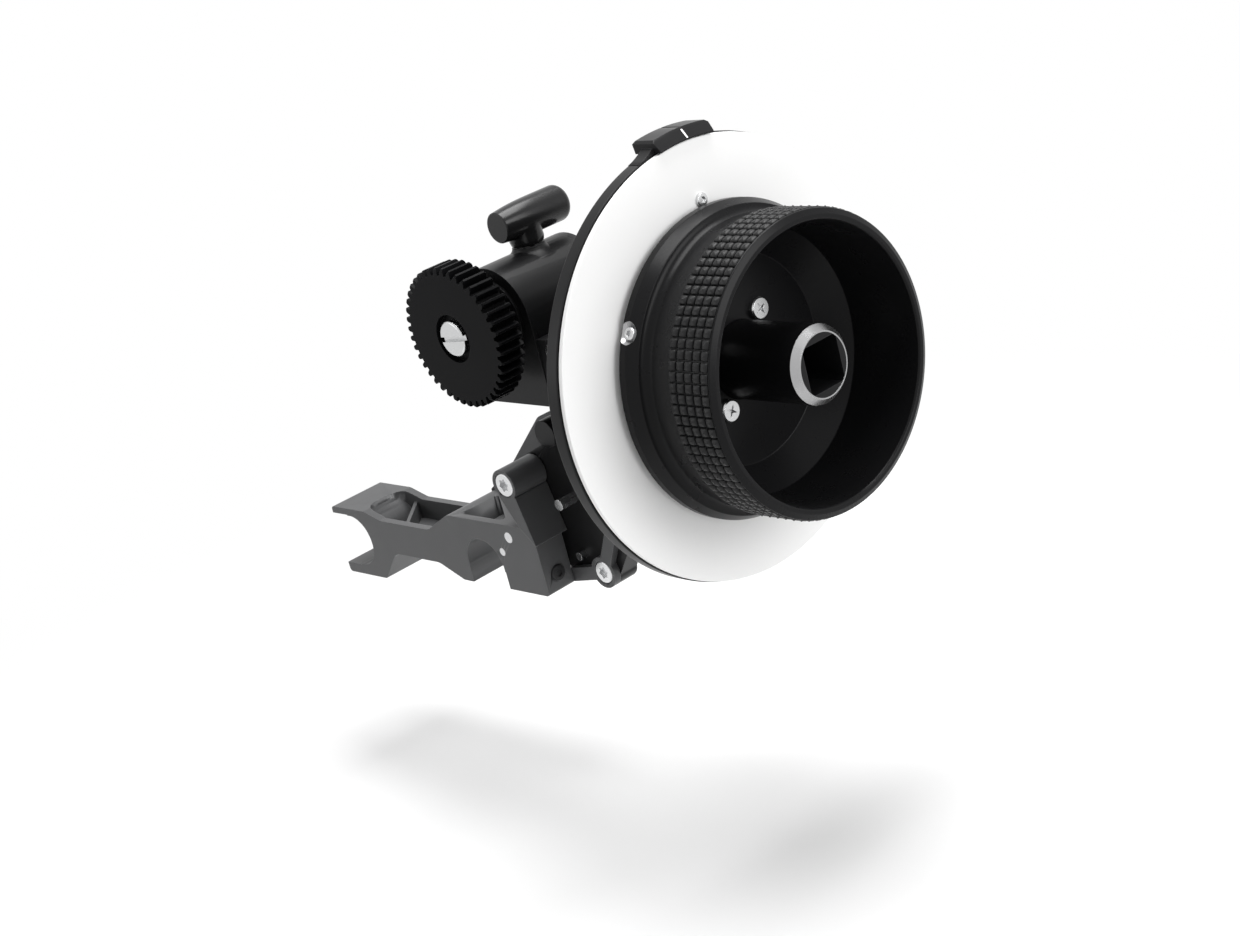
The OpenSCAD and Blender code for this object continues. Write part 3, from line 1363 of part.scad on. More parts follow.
bridge();
hinge_post();
pivot_plate();
plate_screws();
pivot_pin();
pivot_screw();
dowel_pins();
rod_latch();
latch_screw();
swing_arm();
stay_plate();
stay_screw();
arm_pins();
hub();
hub_screws();
hub_saddle();
saddle_screws();
gearbox_housing();
rear_cover();
cover_screws();
drive_sleeve();
sleeve_cap();
bearing_outer_rings();
bearing_balls();
drive_inner_rings();
drive_shaft();
drive_spacer();
drive_helical_gear();
drive_gear();
gear_screw();
clamp_pad();
clamp_stud();
clamp_lever();
wheel_inner_rings();
wheel_shaft();
wheel_spacers();
wheel_helical_gear();
disc_carrier();
flange_screws();
index_ring();
pointer();
index_line();
index_washer();
ring_nut();
marking_disc();
hand_knob();
grip_ring();
socket_tube();
centre_screw();
knob_screws();
set_screws();
disc_pin();
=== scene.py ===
import math

import bmesh
import bpy
from mathutils import Matrix, Vector


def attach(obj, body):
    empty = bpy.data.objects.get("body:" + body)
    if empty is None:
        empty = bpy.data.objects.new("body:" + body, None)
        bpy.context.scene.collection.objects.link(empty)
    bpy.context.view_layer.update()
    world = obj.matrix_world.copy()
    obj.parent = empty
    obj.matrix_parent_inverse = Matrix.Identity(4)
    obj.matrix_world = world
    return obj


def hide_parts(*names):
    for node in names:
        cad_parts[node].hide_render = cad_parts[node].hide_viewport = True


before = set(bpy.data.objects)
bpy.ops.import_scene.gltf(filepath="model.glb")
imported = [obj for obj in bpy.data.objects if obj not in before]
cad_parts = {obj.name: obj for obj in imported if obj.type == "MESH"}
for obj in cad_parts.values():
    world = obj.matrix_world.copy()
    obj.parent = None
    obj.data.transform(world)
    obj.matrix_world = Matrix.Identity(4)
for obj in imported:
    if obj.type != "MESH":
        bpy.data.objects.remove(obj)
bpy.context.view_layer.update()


# Bracket
# The bracket is milled from one aluminium bar, blasted and anodised grey, and hooks over both rods.
# The hinge post stands on its foot; the pivot plate is screwed to its rear face. Edges are lightly eased.
MM = 0.001
WELD = 0.002 * MM
CLOUD_SCALE, CLOUD_DETAIL = 70.0, 4.0
SMEAR_SCALE, SMEAR_DETAIL = 210.0, 3.0
GRAIN_DETAIL = 2.0
EDGE_SAMPLES = 4
MIX_SHARE, MIX_FROM, MIX_TO, MIX_RESULT = 0, 6, 7, 2


def tree_node(tree, kind, values=(), **settings):
    """A node with its settings, and its sockets set or linked by name or place."""
    node = tree.nodes.new(kind)
    for key, value in settings.items():
        setattr(node, key, value)
    for key, value in dict(values).items():
        if isinstance(value, bpy.types.NodeSocket):
            tree.links.new(value, node.inputs[key])
        else:
            node.inputs[key].default_value = value
    return node


def sum_node(tree, operation, first, second):
    return tree_node(tree, "ShaderNodeMath", {0: first, 1: second}, operation=operation).outputs[0]


def noise_node(tree, coordinates, scale, detail):
    return tree_node(tree, "ShaderNodeTexNoise",
                     {"Vector": coordinates, "Scale": scale, "Detail": detail}).outputs[0]


def node_group(kind, name, inputs, outputs):
    """A group with named inputs and outputs, and its two end nodes. An input may give its usual value."""
    tree = bpy.data.node_groups.new(name, kind)
    for label, socket_kind, *usual in inputs:
        socket = tree.interface.new_socket(name=label, in_out="INPUT", socket_type=socket_kind)
        if usual:
            socket.default_value = usual[0]
    for label, socket_kind in outputs:
        tree.interface.new_socket(name=label, in_out="OUTPUT", socket_type=socket_kind)
    return tree, tree.nodes.new("NodeGroupInput"), tree.nodes.new("NodeGroupOutput")


# Blasted and anodised skin: broad clouds in the dye, a fine grain from the blasting
blasted_skin, skin_in, skin_out = node_group(
    "ShaderNodeTree", "blasted skin",
    [("Dye", "NodeSocketColor", (0.1, 0.1, 0.1, 1)), ("Clouding", "NodeSocketFloat", 0.2),
     ("Grain Size", "NodeSocketFloat", 0.0003), ("Roughness", "NodeSocketFloat", 0.4),
     ("Roughness Spread", "NodeSocketFloat", 0.1)],
    [("Colour", "NodeSocketColor"), ("Roughness", "NodeSocketFloat"), ("Grain", "NodeSocketFloat")])
skin_place = tree_node(blasted_skin, "ShaderNodeTexCoord").outputs["Object"]
skin_clouds = noise_node(blasted_skin, skin_place, CLOUD_SCALE, CLOUD_DETAIL)
skin_smears = noise_node(blasted_skin, skin_place, SMEAR_SCALE, SMEAR_DETAIL)
grain_scale = sum_node(blasted_skin, "DIVIDE", 1.0, skin_in.outputs["Grain Size"])
skin_grain = noise_node(blasted_skin, skin_place, grain_scale, GRAIN_DETAIL)


def swing(noise, amount):
    """The noise as a swing about nought, as wide as that input of the skin says."""
    return sum_node(blasted_skin, "MULTIPLY", sum_node(blasted_skin, "SUBTRACT", noise, 0.5),
                    skin_in.outputs[amount])


dye_swing = sum_node(blasted_skin, "ADD", swing(skin_clouds, "Clouding"), swing(skin_grain, "Clouding"))
dye_scale = tree_node(
    blasted_skin, "ShaderNodeVectorMath",
    {0: skin_in.outputs["Dye"], "Scale": sum_node(blasted_skin, "ADD", dye_swing, 1.0)}, operation="SCALE")
rough = sum_node(blasted_skin, "ADD", skin_in.outputs["Roughness"], swing(skin_smears, "Roughness Spread"))
blasted_skin.links.new(dye_scale.outputs[0], skin_out.inputs["Colour"])
blasted_skin.links.new(rough, skin_out.inputs["Roughness"])
blasted_skin.links.new(skin_grain, skin_out.inputs["Grain"])

# Eased edges: the machinist's small break on every corner, which the bevel shades round, and a painted
# highlight that lightens the colour along it
eased_edges, edges_in, edges_out = node_group(
    "ShaderNodeTree", "eased edges",
    [("Width", "NodeSocketFloat", 0.0003), ("Reach", "NodeSocketFloat", 0.25)],
    [("Normal", "NodeSocketVector"), ("Painted Highlight", "NodeSocketFloat")])
edge_round = tree_node(eased_edges, "ShaderNodeBevel", {"Radius": edges_in.outputs["Width"]},
                       samples=EDGE_SAMPLES)
face_way = tree_node(eased_edges, "ShaderNodeNewGeometry").outputs["Normal"]
edge_turn = tree_node(eased_edges, "ShaderNodeVectorMath", {0: edge_round.outputs[0], 1: face_way},
                      operation="DOT_PRODUCT")
# The painted highlight's share grows as the bevelled normal turns away from the face's own
edge_bend = sum_node(eased_edges, "SUBTRACT", 1.0, edge_turn.outputs["Value"])
painted_highlight_share = sum_node(eased_edges, "DIVIDE", edge_bend, edges_in.outputs["Reach"])
eased_edges.links.new(sum_node(eased_edges, "MINIMUM", painted_highlight_share, 1.0), edges_out.inputs["Painted Highlight"])
eased_edges.links.new(edge_round.outputs[0], edges_out.inputs["Normal"])


def skinned_material(name, dye, roughness, clouding, spread, grain_size, grain_depth):
    """A material with the skin's roughness and grain. Also its surface, the skin's colour, which is still
    to be linked, and the bump that carries the grain."""
    material = bpy.data.materials.new(name)
    material.use_nodes = True
    tree = material.node_tree
    surface = tree.nodes["Principled BSDF"]
    skin = tree_node(tree, "ShaderNodeGroup",
                     {"Dye": (*dye, 1), "Clouding": clouding, "Grain Size": grain_size,
                      "Roughness": roughness, "Roughness Spread": spread}, node_tree=blasted_skin)
    bump = tree_node(tree, "ShaderNodeBump",
                     {"Strength": 1.0, "Distance": grain_depth, "Height": skin.outputs["Grain"]})
    tree.links.new(skin.outputs["Roughness"], surface.inputs["Roughness"])
    tree.links.new(bump.outputs[0], surface.inputs["Normal"])
    return material, surface, skin.outputs["Colour"], bump


def metal_finish(name, dye, edge_highlight, roughness, metallic, specular, clouding, spread, grain_size, grain_depth,
                 edge_width):
    material, surface, colour, bump = skinned_material(
        name, dye, roughness, clouding, spread, grain_size, grain_depth)
    tree = material.node_tree
    edges = tree_node(tree, "ShaderNodeGroup", {"Width": edge_width}, node_tree=eased_edges)
    # Along every edge the colour is mixed towards the lighter edge colour: a painted highlight
    paint = tree_node(tree, "ShaderNodeMix",
                      {MIX_SHARE: edges.outputs["Painted Highlight"], MIX_FROM: colour, MIX_TO: (*edge_highlight, 1)},
                      data_type="RGBA")
    tree.links.new(paint.outputs[MIX_RESULT], surface.inputs["Base Color"])
    tree.links.new(edges.outputs["Normal"], bump.inputs["Normal"])
    surface.inputs["Metallic"].default_value = metallic
    surface.inputs["Specular IOR Level"].default_value = specular
    return material


def linked(name, data):
    thing = bpy.data.objects.new(name, data)
    bpy.context.scene.collection.objects.link(thing)
    return thing


def shaped_mesh(base):
    """The object's mesh with its modifiers applied. The object goes."""
    bpy.context.view_layer.update()
    result = bpy.data.meshes.new_from_object(base.evaluated_get(bpy.context.evaluated_depsgraph_get()))
    base.modifiers.clear()
    bpy.data.objects.remove(base)
    return result


def placed_mesh(name, shape, matrix=Matrix.Identity(4)):
    shape.transform(matrix)
    mesh = bpy.data.meshes.new(name)
    shape.to_mesh(mesh)
    shape.free()
    return mesh


def paint_nodes(material, *names):
    for name in names:
        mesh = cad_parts[name].data
        mesh.materials.clear()
        mesh.materials.append(material)


def finished_piece(name, mesh, body, slot, material, *nodes, degrees=30.0):
    """A piece that rides on its body, in place of the nodes. It is shaded smooth up to the angle, and its
    normals are weighted by face area, so that flat faces stay flat."""
    mesh.materials.clear()
    mesh.materials.append(material)
    for face in mesh.polygons:
        face.use_smooth = True
    mesh.set_sharp_from_angle(angle=math.radians(degrees))
    base = linked("flats", mesh)
    step = base.modifiers.new("weights", "WEIGHTED_NORMAL")
    step.mode = "FACE_AREA"
    step.keep_sharp = True
    piece = linked(name, shaped_mesh(base))
    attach(piece, body)
    if nodes:
        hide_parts(*nodes)
    return piece


def smooth_copy(name, node, body, slot, material, flat=0.02, degrees=28.0):
    """The node's own form with its curved faces shaded smooth. Its triangles are joined at their corners,
    and merged where they lie within the flat angle."""
    shape = bmesh.new()
    shape.from_mesh(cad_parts[node].data)
    bmesh.ops.remove_doubles(shape, verts=shape.verts, dist=WELD)
    bmesh.ops.dissolve_limit(shape, angle_limit=math.radians(flat), verts=shape.verts, edges=shape.edges)
    return finished_piece(name, placed_mesh(name, shape), body, slot, material, node, degrees=degrees)


grey_anodised = metal_finish(
    "grey anodised bar", dye=(0.085, 0.086, 0.088), edge_highlight=(0.18, 0.18, 0.185), roughness=0.42, metallic=0.1,
    specular=0.22, clouding=0.12, spread=0.1, grain_size=0.00025, grain_depth=0.000004, edge_width=0.00035)
plate_anodised = metal_finish(
    "grey anodised plate", dye=(0.075, 0.076, 0.078), edge_highlight=(0.18, 0.18, 0.185), roughness=0.4, metallic=0.1,
    specular=0.2, clouding=0.1, spread=0.1, grain_size=0.0003, grain_depth=0.000003, edge_width=0.0003)
smooth_copy("milled_bracket", "bridge", "bridge", "bracket", grey_anodised)
smooth_copy("post_with_knuckle", "hinge_post", "bridge", "plate", plate_anodised)
smooth_copy("rear_pivot_plate", "pivot_plate", "bridge", "plate", plate_anodised)


# Pins, latch and shafts
# Plain ground steel: the pivot pin, the foot's dowels, the sprung latch that bears on the near rod,
# and the shafts, spacers and bearings inside, which are left as they come from the lathe.
ground_steel = metal_finish(
    "ground steel", dye=(0.58, 0.585, 0.59), edge_highlight=(0.75, 0.75, 0.75), roughness=0.26, metallic=1.0,
    specular=0.5, clouding=0.06, spread=0.12, grain_size=0.0006, grain_depth=0.000001, edge_width=0.00015)
bearing_brass = metal_finish(
    "turned brass", dye=(0.62, 0.47, 0.22), edge_highlight=(0.8, 0.66, 0.36), roughness=0.3, metallic=1.0,
    specular=0.5, clouding=0.08, spread=0.1, grain_size=0.0005, grain_depth=0.000001, edge_width=0.0001)
paint_nodes(ground_steel, "pivot_pin", "dowel_pins", "rod_latch", "arm_pins", "bearing_outer_rings",
            "bearing_balls", "drive_inner_rings", "drive_shaft", "drive_spacer", "drive_helical_gear",
            "wheel_inner_rings", "wheel_shaft", "wheel_spacers", "wheel_helical_gear", "clamp_stud",
            "flange_screws", "ring_nut")
paint_nodes(bearing_brass, "clamp_pad", "index_washer")


# Swing arm and stay
# The arm is a black anodised plate that turns on the post's pin and carries the gearbox and the wheel.
# The grey stay lies in front of it and is held by one bright screw.
black_anodised = metal_finish(
    "black anodised aluminium", dye=(0.01, 0.01, 0.0105), edge_highlight=(0.04, 0.04, 0.042), roughness=0.32,
    metallic=0.0, specular=0.14, clouding=0.25, spread=0.12, grain_size=0.00025, grain_depth=0.000003,
    edge_width=0.0003)
smooth_copy("arm_plate", "swing_arm", "swing_arm", "black_anodised", black_anodised)
smooth_copy("grey_stay", "stay_plate", "swing_arm", "plate", plate_anodised)
smooth_copy("carrier_saddle", "hub_saddle", "swing_arm", "black_anodised", black_anodised)


# Gearbox
# The housing is milled with a round top over flat sides; a turned sleeve with the drive shaft slides in
# from the front and is gripped by the T lever's stud. The rear cover is a flat plate of the same section.
WHEEL_Y = 11.25
WHEEL_Z = 55.8
smooth_copy("gearbox_block", "gearbox_housing", "swing_arm", "black_anodised", black_anodised)
smooth_copy("gearbox_cover", "rear_cover", "swing_arm", "black_anodised", black_anodised)
smooth_copy("turned_sleeve", "drive_sleeve", "swing_arm", "black_anodised", black_anodised)
smooth_copy("sleeve_end_cap", "sleeve_cap", "swing_arm", "black_anodised", black_anodised)


# T lever
# A turned barrel with a rounded far end, pressed crosswise on a waisted neck that screws down on the stud.
# It is anodised with the housing and its neck flares where it meets the barrel.
DRIVE_X = 28.8
LEVER_Y = 10.25
BARREL_Z = 90.1
NECK_FOOT_Z = 83.58
BARREL_R, BARREL_FAR, barrel_end_round = 4.7, 13.5, 2.2
barrel_profile = [(-8.0, 0.0), (-8.0, 3.7), (-7.8, 3.95), (-6.2, 4.15), (-4.2, 4.36), (-2.0, 4.53),
                  (0.5, 4.65), (3.5, BARREL_R)]
neck_foot_r, neck_foot_ease, neck_top_r = 4.2, 0.3, 4.2
neck_waist_r, neck_waist_at, neck_flare = 4.35, 0.375, 0.7
LATHE_STEPS = 128
ON_AXIS = 1e-6
SLIGHT_BEND = math.radians(12)
SIDE_SHARE = 0.45


def lathe(profile, steps=LATHE_STEPS):
    """A body of revolution about X from points (place along X, radius) in mm. A profile that leaves the axis
    and comes back to it is closed there; any other profile is a closed ring."""
    shape = bmesh.new()
    turns = [2 * math.pi * i / steps for i in range(steps)]
    rows = []
    for along, radius in profile:
        if radius < ON_AXIS:
            rows.append([shape.verts.new((along * MM, 0, 0))])
        else:
            rows.append([shape.verts.new((along * MM, radius * MM * math.cos(turn),
                                          radius * MM * math.sin(turn))) for turn in turns])
    ring = len(rows[0]) > 1
    pairs = [(rows[i], rows[(i + 1) % len(rows)]) for i in range(len(rows) if ring else len(rows) - 1)]
    for a, b in pairs:
        for i in range(steps):
            j = (i + 1) % steps
            corners = [a[i % len(a)], a[j % len(a)], b[j % len(b)], b[i % len(b)]]
            corners = [c for k, c in enumerate(corners) if c not in corners[:k]]
            if len(corners) > 2:
                shape.faces.new(corners)
    bmesh.ops.recalc_face_normals(shape, faces=shape.faces)
    return shape


def eased(points, radius, steps=3):
    """The closed outline with each of its corners rounded, as far as its sides allow."""
    result = []
    for i, point in enumerate(points):
        here = Vector(point)
        back = Vector(points[i - 1]) - here
        ahead = Vector(points[(i + 1) % len(points)]) - here
        bend = math.pi - back.angle(ahead)
        if bend < SLIGHT_BEND or here.y < ON_AXIS:
            result.append(point)
            continue
        reach = min(radius * math.tan(bend / 2), SIDE_SHARE * back.length, SIDE_SHARE * ahead.length)
        start, end = here + back.normalized() * reach, here + ahead.normalized() * reach
        for k in range(steps + 1):
            t = k / steps
            result.append(tuple(start * (1 - t) ** 2 + here * 2 * t * (1 - t) + end * t ** 2))
    return result


def joined(name, mesh, others, operation):
    """The mesh after a Boolean with each of the others."""
    base = linked(name, mesh)
    tools = [linked(name + "_tool", other) for other in others]
    for tool in tools:
        step = base.modifiers.new("step", "BOOLEAN")
        step.object = tool
        step.operation = operation
        step.solver = "EXACT"
    result = shaped_mesh(base)
    for tool in tools:
        bpy.data.objects.remove(tool)
    return result


def joined_plain(name, meshes):
    """One mesh that holds the others as they are."""
    shape = bmesh.new()
    for mesh in meshes:
        shape.from_mesh(mesh)
    return placed_mesh(name, shape)


along_y = Matrix.Rotation(math.radians(90), 4, "Z")
along_z = Matrix.Rotation(math.radians(-90), 4, "Y")
barrel_far = [(BARREL_FAR - barrel_end_round * (1 - math.sin(math.radians(a))),
               BARREL_R - barrel_end_round * (1 - math.cos(math.radians(a)))) for a in range(0, 91, 10)]
barrel_mesh = placed_mesh(
    "barrel", lathe(barrel_profile + barrel_far + [(BARREL_FAR, 0.0)]),
    Matrix.Translation(Vector((DRIVE_X, LEVER_Y, BARREL_Z)) * MM) @ along_y)
neck_profile = [(0.0, 0.0), (0.0, neck_foot_r - neck_foot_ease), (neck_foot_ease, neck_foot_r)]
neck_profile += [(t * (BARREL_Z - NECK_FOOT_Z), neck_waist_r + neck_flare * (2 * (t - neck_waist_at)) ** 2)
                 for t in (0.2, 0.3, 0.4, 0.5, 0.6, 0.7)]
neck_profile += [(BARREL_Z - NECK_FOOT_Z, neck_top_r), (BARREL_Z - NECK_FOOT_Z, 0.0)]
neck_mesh = placed_mesh(
    "neck", lathe(neck_profile),
    Matrix.Translation(Vector((DRIVE_X, LEVER_Y, NECK_FOOT_Z)) * MM) @ along_z)
black_satin = metal_finish(
    "black anodised satin", dye=(0.012, 0.012, 0.0125), edge_highlight=(0.04, 0.04, 0.042), roughness=0.22,
    metallic=0.0, specular=0.26, clouding=0.2, spread=0.1, grain_size=0.0002, grain_depth=0.0000015,
    edge_width=0.00025)
finished_piece("t_lever", joined("lever", barrel_mesh, [neck_mesh], "UNION"), "clamp_lever", "black_anodised",
               black_satin, "clamp_lever", degrees=35.0)


# Drive gear
# Cut from black anodised bar with 0.8 module teeth, their tips chamfered at both faces, a shallow recess
# for the screw's head and a thin neck that runs to the front bearing. One tooth is turned round the axis.
GEAR_TEETH = 43
GEAR_FRONT = -19.35
GEAR_BACK = -11.85
GEAR_NECK_END = -4.35
DRIVE_Z = 69.3765
TOOTH_ROOT, TOOTH_PITCH, TOOTH_TIP = 16.2, 17.2, 18.0
gear_neck_r, gear_bore_r, gear_recess_r, gear_recess = 4.2, 3.0, 6.2, 1.8
tooth_chamfer, tooth_sunk = 0.45, 0.1


def shape_tree(name, sockets):
    geometry = ("Geometry", "NodeSocketGeometry")
    return node_group("GeometryNodeTree", name, [geometry, *sockets], [geometry])


def end_tree(tree, geometry, finish, out):
    real = tree_node(tree, "GeometryNodeRealizeInstances", {"Geometry": geometry})
    merged = tree_node(tree, "GeometryNodeMergeByDistance",
                       {"Geometry": real.outputs[0], "Distance": WELD / 2})
    made = tree_node(tree, "GeometryNodeSetMaterial", {"Geometry": merged.outputs[0], "Material": finish})
    tree.links.new(made.outputs[0], out.inputs["Geometry"])


def grown(name, mesh, tree, values):
    """The mesh that the tree makes of this one, with the modifier's inputs set by identifier."""
    base = linked(name, mesh)
    step = base.modifiers.new("shape", "NODES")
    step.node_group = tree
    for item in tree.interface.items_tree:
        if item.item_type == "SOCKET" and item.in_out == "INPUT" and item.name in values:
            step[item.identifier] = values[item.name]
    return shaped_mesh(base)


# Copies of the incoming shape turned round the Y axis, then moved to the shaft
round_shaft, gear_in, gear_out = shape_tree(
    "teeth round a shaft", [("Teeth", "NodeSocketInt"), ("Shaft Place", "NodeSocketVector"),
                            ("Finish", "NodeSocketMaterial")])
gear_points = tree_node(round_shaft, "GeometryNodePoints", {"Count": gear_in.outputs["Teeth"]})
gear_index = tree_node(round_shaft, "GeometryNodeInputIndex").outputs[0]
gear_turn = sum_node(round_shaft, "DIVIDE", sum_node(round_shaft, "MULTIPLY", gear_index, 2 * math.pi),
                     gear_in.outputs["Teeth"])
gear_angles = tree_node(round_shaft, "ShaderNodeCombineXYZ", {"Y": gear_turn})
gear_copies = tree_node(round_shaft, "GeometryNodeInstanceOnPoints",
                        {"Points": gear_points.outputs[0], "Instance": gear_in.outputs["Geometry"],
                         "Rotation": gear_angles.outputs[0]})
gear_moved = tree_node(round_shaft, "GeometryNodeTransform",
                       {"Geometry": gear_copies.outputs[0], "Translation": gear_in.outputs["Shaft Place"]})
end_tree(round_shaft, gear_moved.outputs[0], gear_in.outputs["Finish"], gear_out)

pitch_angle = 360 / GEAR_TEETH
tooth_outline = [(-0.5, TOOTH_ROOT), (-0.33, TOOTH_ROOT), (-0.24, TOOTH_PITCH), (-0.11, TOOTH_TIP),
                 (0.11, TOOTH_TIP), (0.24, TOOTH_PITCH), (0.33, TOOTH_ROOT), (0.5, TOOTH_ROOT)]
tooth_rows = [(GEAR_FRONT, -tooth_chamfer), (GEAR_FRONT + tooth_chamfer, 0.0),
              (GEAR_BACK - tooth_chamfer, 0.0), (GEAR_BACK, -tooth_chamfer)]
tooth_shape = bmesh.new()
tooth_grid = []
for along, drop in tooth_rows:
    row = []
    for share, radius in tooth_outline:
        a = math.radians(share * pitch_angle)
        r = max(min(radius, TOOTH_TIP + drop), TOOTH_ROOT - tooth_sunk) * MM
        row.append(tooth_shape.verts.new((r * math.sin(a), along * MM, r * math.cos(a))))
    tooth_grid.append(row)
for along, radius in [(GEAR_BACK, gear_neck_r), (GEAR_NECK_END, gear_neck_r), (GEAR_NECK_END, gear_bore_r),
                      (GEAR_FRONT + gear_recess, gear_bore_r), (GEAR_FRONT + gear_recess, gear_recess_r),
                      (GEAR_FRONT, gear_recess_r)]:
    row = []
    for share, _ in tooth_outline:
        a = math.radians(share * pitch_angle)
        row.append(tooth_shape.verts.new((radius * MM * math.sin(a), along * MM, radius * MM * math.cos(a))))
    tooth_grid.append(row)
for i, row in enumerate(tooth_grid):
    above = tooth_grid[(i + 1) % len(tooth_grid)]
    for k in range(len(row) - 1):
        tooth_shape.faces.new((row[k], above[k], above[k + 1], row[k + 1]))
gear_black = metal_finish(
    "black hard anodised", dye=(0.005, 0.005, 0.0055), edge_highlight=(0.03, 0.03, 0.031), roughness=0.36,
    metallic=0.0, specular=0.04, clouding=0.25, spread=0.12, grain_size=0.0002, grain_depth=0.000002,
    edge_width=0.00015)
gear_mesh = grown("gear", placed_mesh("tooth", tooth_shape), round_shaft,
                  {"Teeth": GEAR_TEETH, "Shaft Place": Vector((DRIVE_X, 0, DRIVE_Z)) * MM,
                   "Finish": gear_black})
gear_shape = bmesh.new()
gear_shape.from_mesh(gear_mesh)
bmesh.ops.recalc_face_normals(gear_shape, faces=gear_shape.faces)
finished_piece("pinion", placed_mesh("gear", gear_shape), "drive", "black_anodised", gear_black,
               "drive_gear", degrees=25.0)


# Slotted gear screw
# A bright turned screw with a wide flat head holds the gear on its shaft. Its slot is milled across the
# whole head, and the rim of the head is chamfered.
SEAT_Y = -17.55
screw_head_r, screw_head_t, screw_crown = 4.5, 2.2, 0.12
screw_rim_x, screw_rim_r, screw_ease = 0.3, 0.35, 0.12
screw_slot, screw_slot_depth, slot_over, slot_turn = 1.3, 1.2, 0.1, 4.0
slot_head = lathe(eased([(0.0, 0.0), (0.0, screw_head_r), (screw_head_t - screw_rim_x, screw_head_r),
                         (screw_head_t, screw_head_r - screw_rim_r), (screw_head_t + screw_crown, 0.0)],
                        screw_ease))
to_front = (Matrix.Translation(Vector((DRIVE_X, SEAT_Y, DRIVE_Z)) * MM)
            @ Matrix.Rotation(math.radians(-90), 4, "Z"))
slot_tool = bmesh.new()
bmesh.ops.create_cube(slot_tool, size=1.0, matrix=Matrix.Diagonal((
    2 * screw_slot_depth * MM, screw_slot * MM, 3 * screw_head_r * MM, 1)))
slot_place = (to_front @ Matrix.Translation(Vector((screw_head_t + slot_over, 0, 0)) * MM)
              @ Matrix.Rotation(math.radians(slot_turn + 90), 4, "X"))
slot_mesh = joined("slotted", placed_mesh("slot_head", slot_head, to_front),
                   [placed_mesh("slot_tool", slot_tool, slot_place)], "DIFFERENCE")
finished_piece("slotted_screw", slot_mesh, "drive", "steel", ground_steel, "gear_screw")


# Bearing carrier
# A turned tube runs from the gearbox to the wheel, with a collar that the index ring bears on. A thin
# nut and a brass washer hold the ring with light drag.
smooth_copy("carrier_tube", "hub", "swing_arm", "black_anodised", black_anodised)


# Index ring and pointer
# The ring is turned from black anodised plate and stays where it is set. The pointer is screwed to its rim;
# a filled white line on its front face marks the place on the disc.
RING_X0, RING_X1, RING_R, RING_EASE = 87.0, 90.5, 52.2, 0.4
ring_web_x, ring_web_t, ring_bore_r = 80.5, 2.5, 12.05
ring_rim_in, ring_step_r = 43.291, 46.291
WHEEL_STEPS = 256
ring_profile = [(ring_web_x, ring_bore_r), (ring_web_x, ring_step_r), (RING_X0, ring_step_r),
                (RING_X0, RING_R), (RING_X1, RING_R), (RING_X1, ring_rim_in),
                (ring_web_x + ring_web_t, ring_rim_in), (ring_web_x + ring_web_t, ring_bore_r)]
on_wheel = Matrix.Translation(Vector((0, WHEEL_Y, WHEEL_Z)) * MM)
finished_piece("turned_index_ring",
               placed_mesh("ring", lathe(eased(ring_profile, RING_EASE), WHEEL_STEPS), on_wheel),
               "index_ring", "black_anodised", black_anodised, "index_ring")
smooth_copy("ring_pointer", "pointer", "index_ring", "black_anodised", black_anodised, flat=1.0, degrees=25.0)


# Marking disc
# A white plastic disc that is written on with a pen and wiped clean. It is turned from sheet, with a
# slight sheen and a softened rim, seated under the knob's flange and kept from turning by one small pin.
def plastic_finish(name, colour, roughness, clouding, spread, grain_size, grain_depth, coat, coat_roughness):
    material, surface, skin_colour, _ = skinned_material(
        name, colour, roughness, clouding, spread, grain_size, grain_depth)
    material.node_tree.links.new(skin_colour, surface.inputs["Base Color"])
    surface.inputs["Coat Weight"].default_value = coat
    surface.inputs["Coat Roughness"].default_value = coat_roughness
    return material


DISC_X0, DISC_X1, DISC_R, DISC_BORE_R, DISC_EASE = 90.8, 92.0, 51.9, 16.0, 0.3
wipeable_white = plastic_finish(
    "wipeable white plastic", (0.8, 0.8, 0.797), roughness=0.42, clouding=0.02, spread=0.12,
    grain_size=0.0008, grain_depth=0.000001, coat=0.1, coat_roughness=0.25)
disc_profile = [(DISC_X0, DISC_BORE_R), (DISC_X0, DISC_R), (DISC_X1, DISC_R), (DISC_X1, DISC_BORE_R)]
finished_piece("white_disc",
               placed_mesh("disc", lathe(eased(disc_profile, DISC_EASE), WHEEL_STEPS), on_wheel),
               "wheel", "white", wipeable_white, "marking_disc")
paint_nodes(wipeable_white, "index_line")
smooth_copy("disc_carrier_plate", "disc_carrier", "wheel", "black_anodised", black_anodised)


# Hand knob
# Turned from aluminium and anodised black: a flange over the disc, a hollow skirt, a knurled band and a
# deep open cup. Three set screws sit in countersinks cut into the flange's rim after it was anodised.
knob_black = metal_finish(
    "black turned anodising", dye=(0.007, 0.007, 0.0075), edge_highlight=(0.026, 0.026, 0.027), roughness=0.28,
    metallic=0.0, specular=0.1, clouding=0.2, spread=0.06, grain_size=0.0002, grain_depth=0.0000012,
    edge_width=0.0002)
bared_aluminium = metal_finish(
    "bared aluminium", dye=(0.38, 0.38, 0.385), edge_highlight=(0.45, 0.45, 0.45), roughness=0.28, metallic=1.0,
    specular=0.5, clouding=0.1, spread=0.2, grain_size=0.0004, grain_depth=0.000001, edge_width=0.00005)
FLANGE_R, FLANGE_BACK, FLANGE_RIM_W = 37.1, 1.9, 1.9
FLANGE_FALL_LEN, FLANGE_FALL, SKIRT_R = 2.9, 1.3, 33.6
BAND_X0, BAND_X1, BAND_R = 107.0, 119.5, 34.3
KNOB_X1, KNOB_R, KNOB_EASE = 120.5, 35.2, 0.3
CUP_R, CUP_KNEE_X, CUP_KNEE_R = 32.0, 101.0, 31.0
FLOOR_X, FLOOR_R, TUBE_R = 94.6, 24.8, 9.15
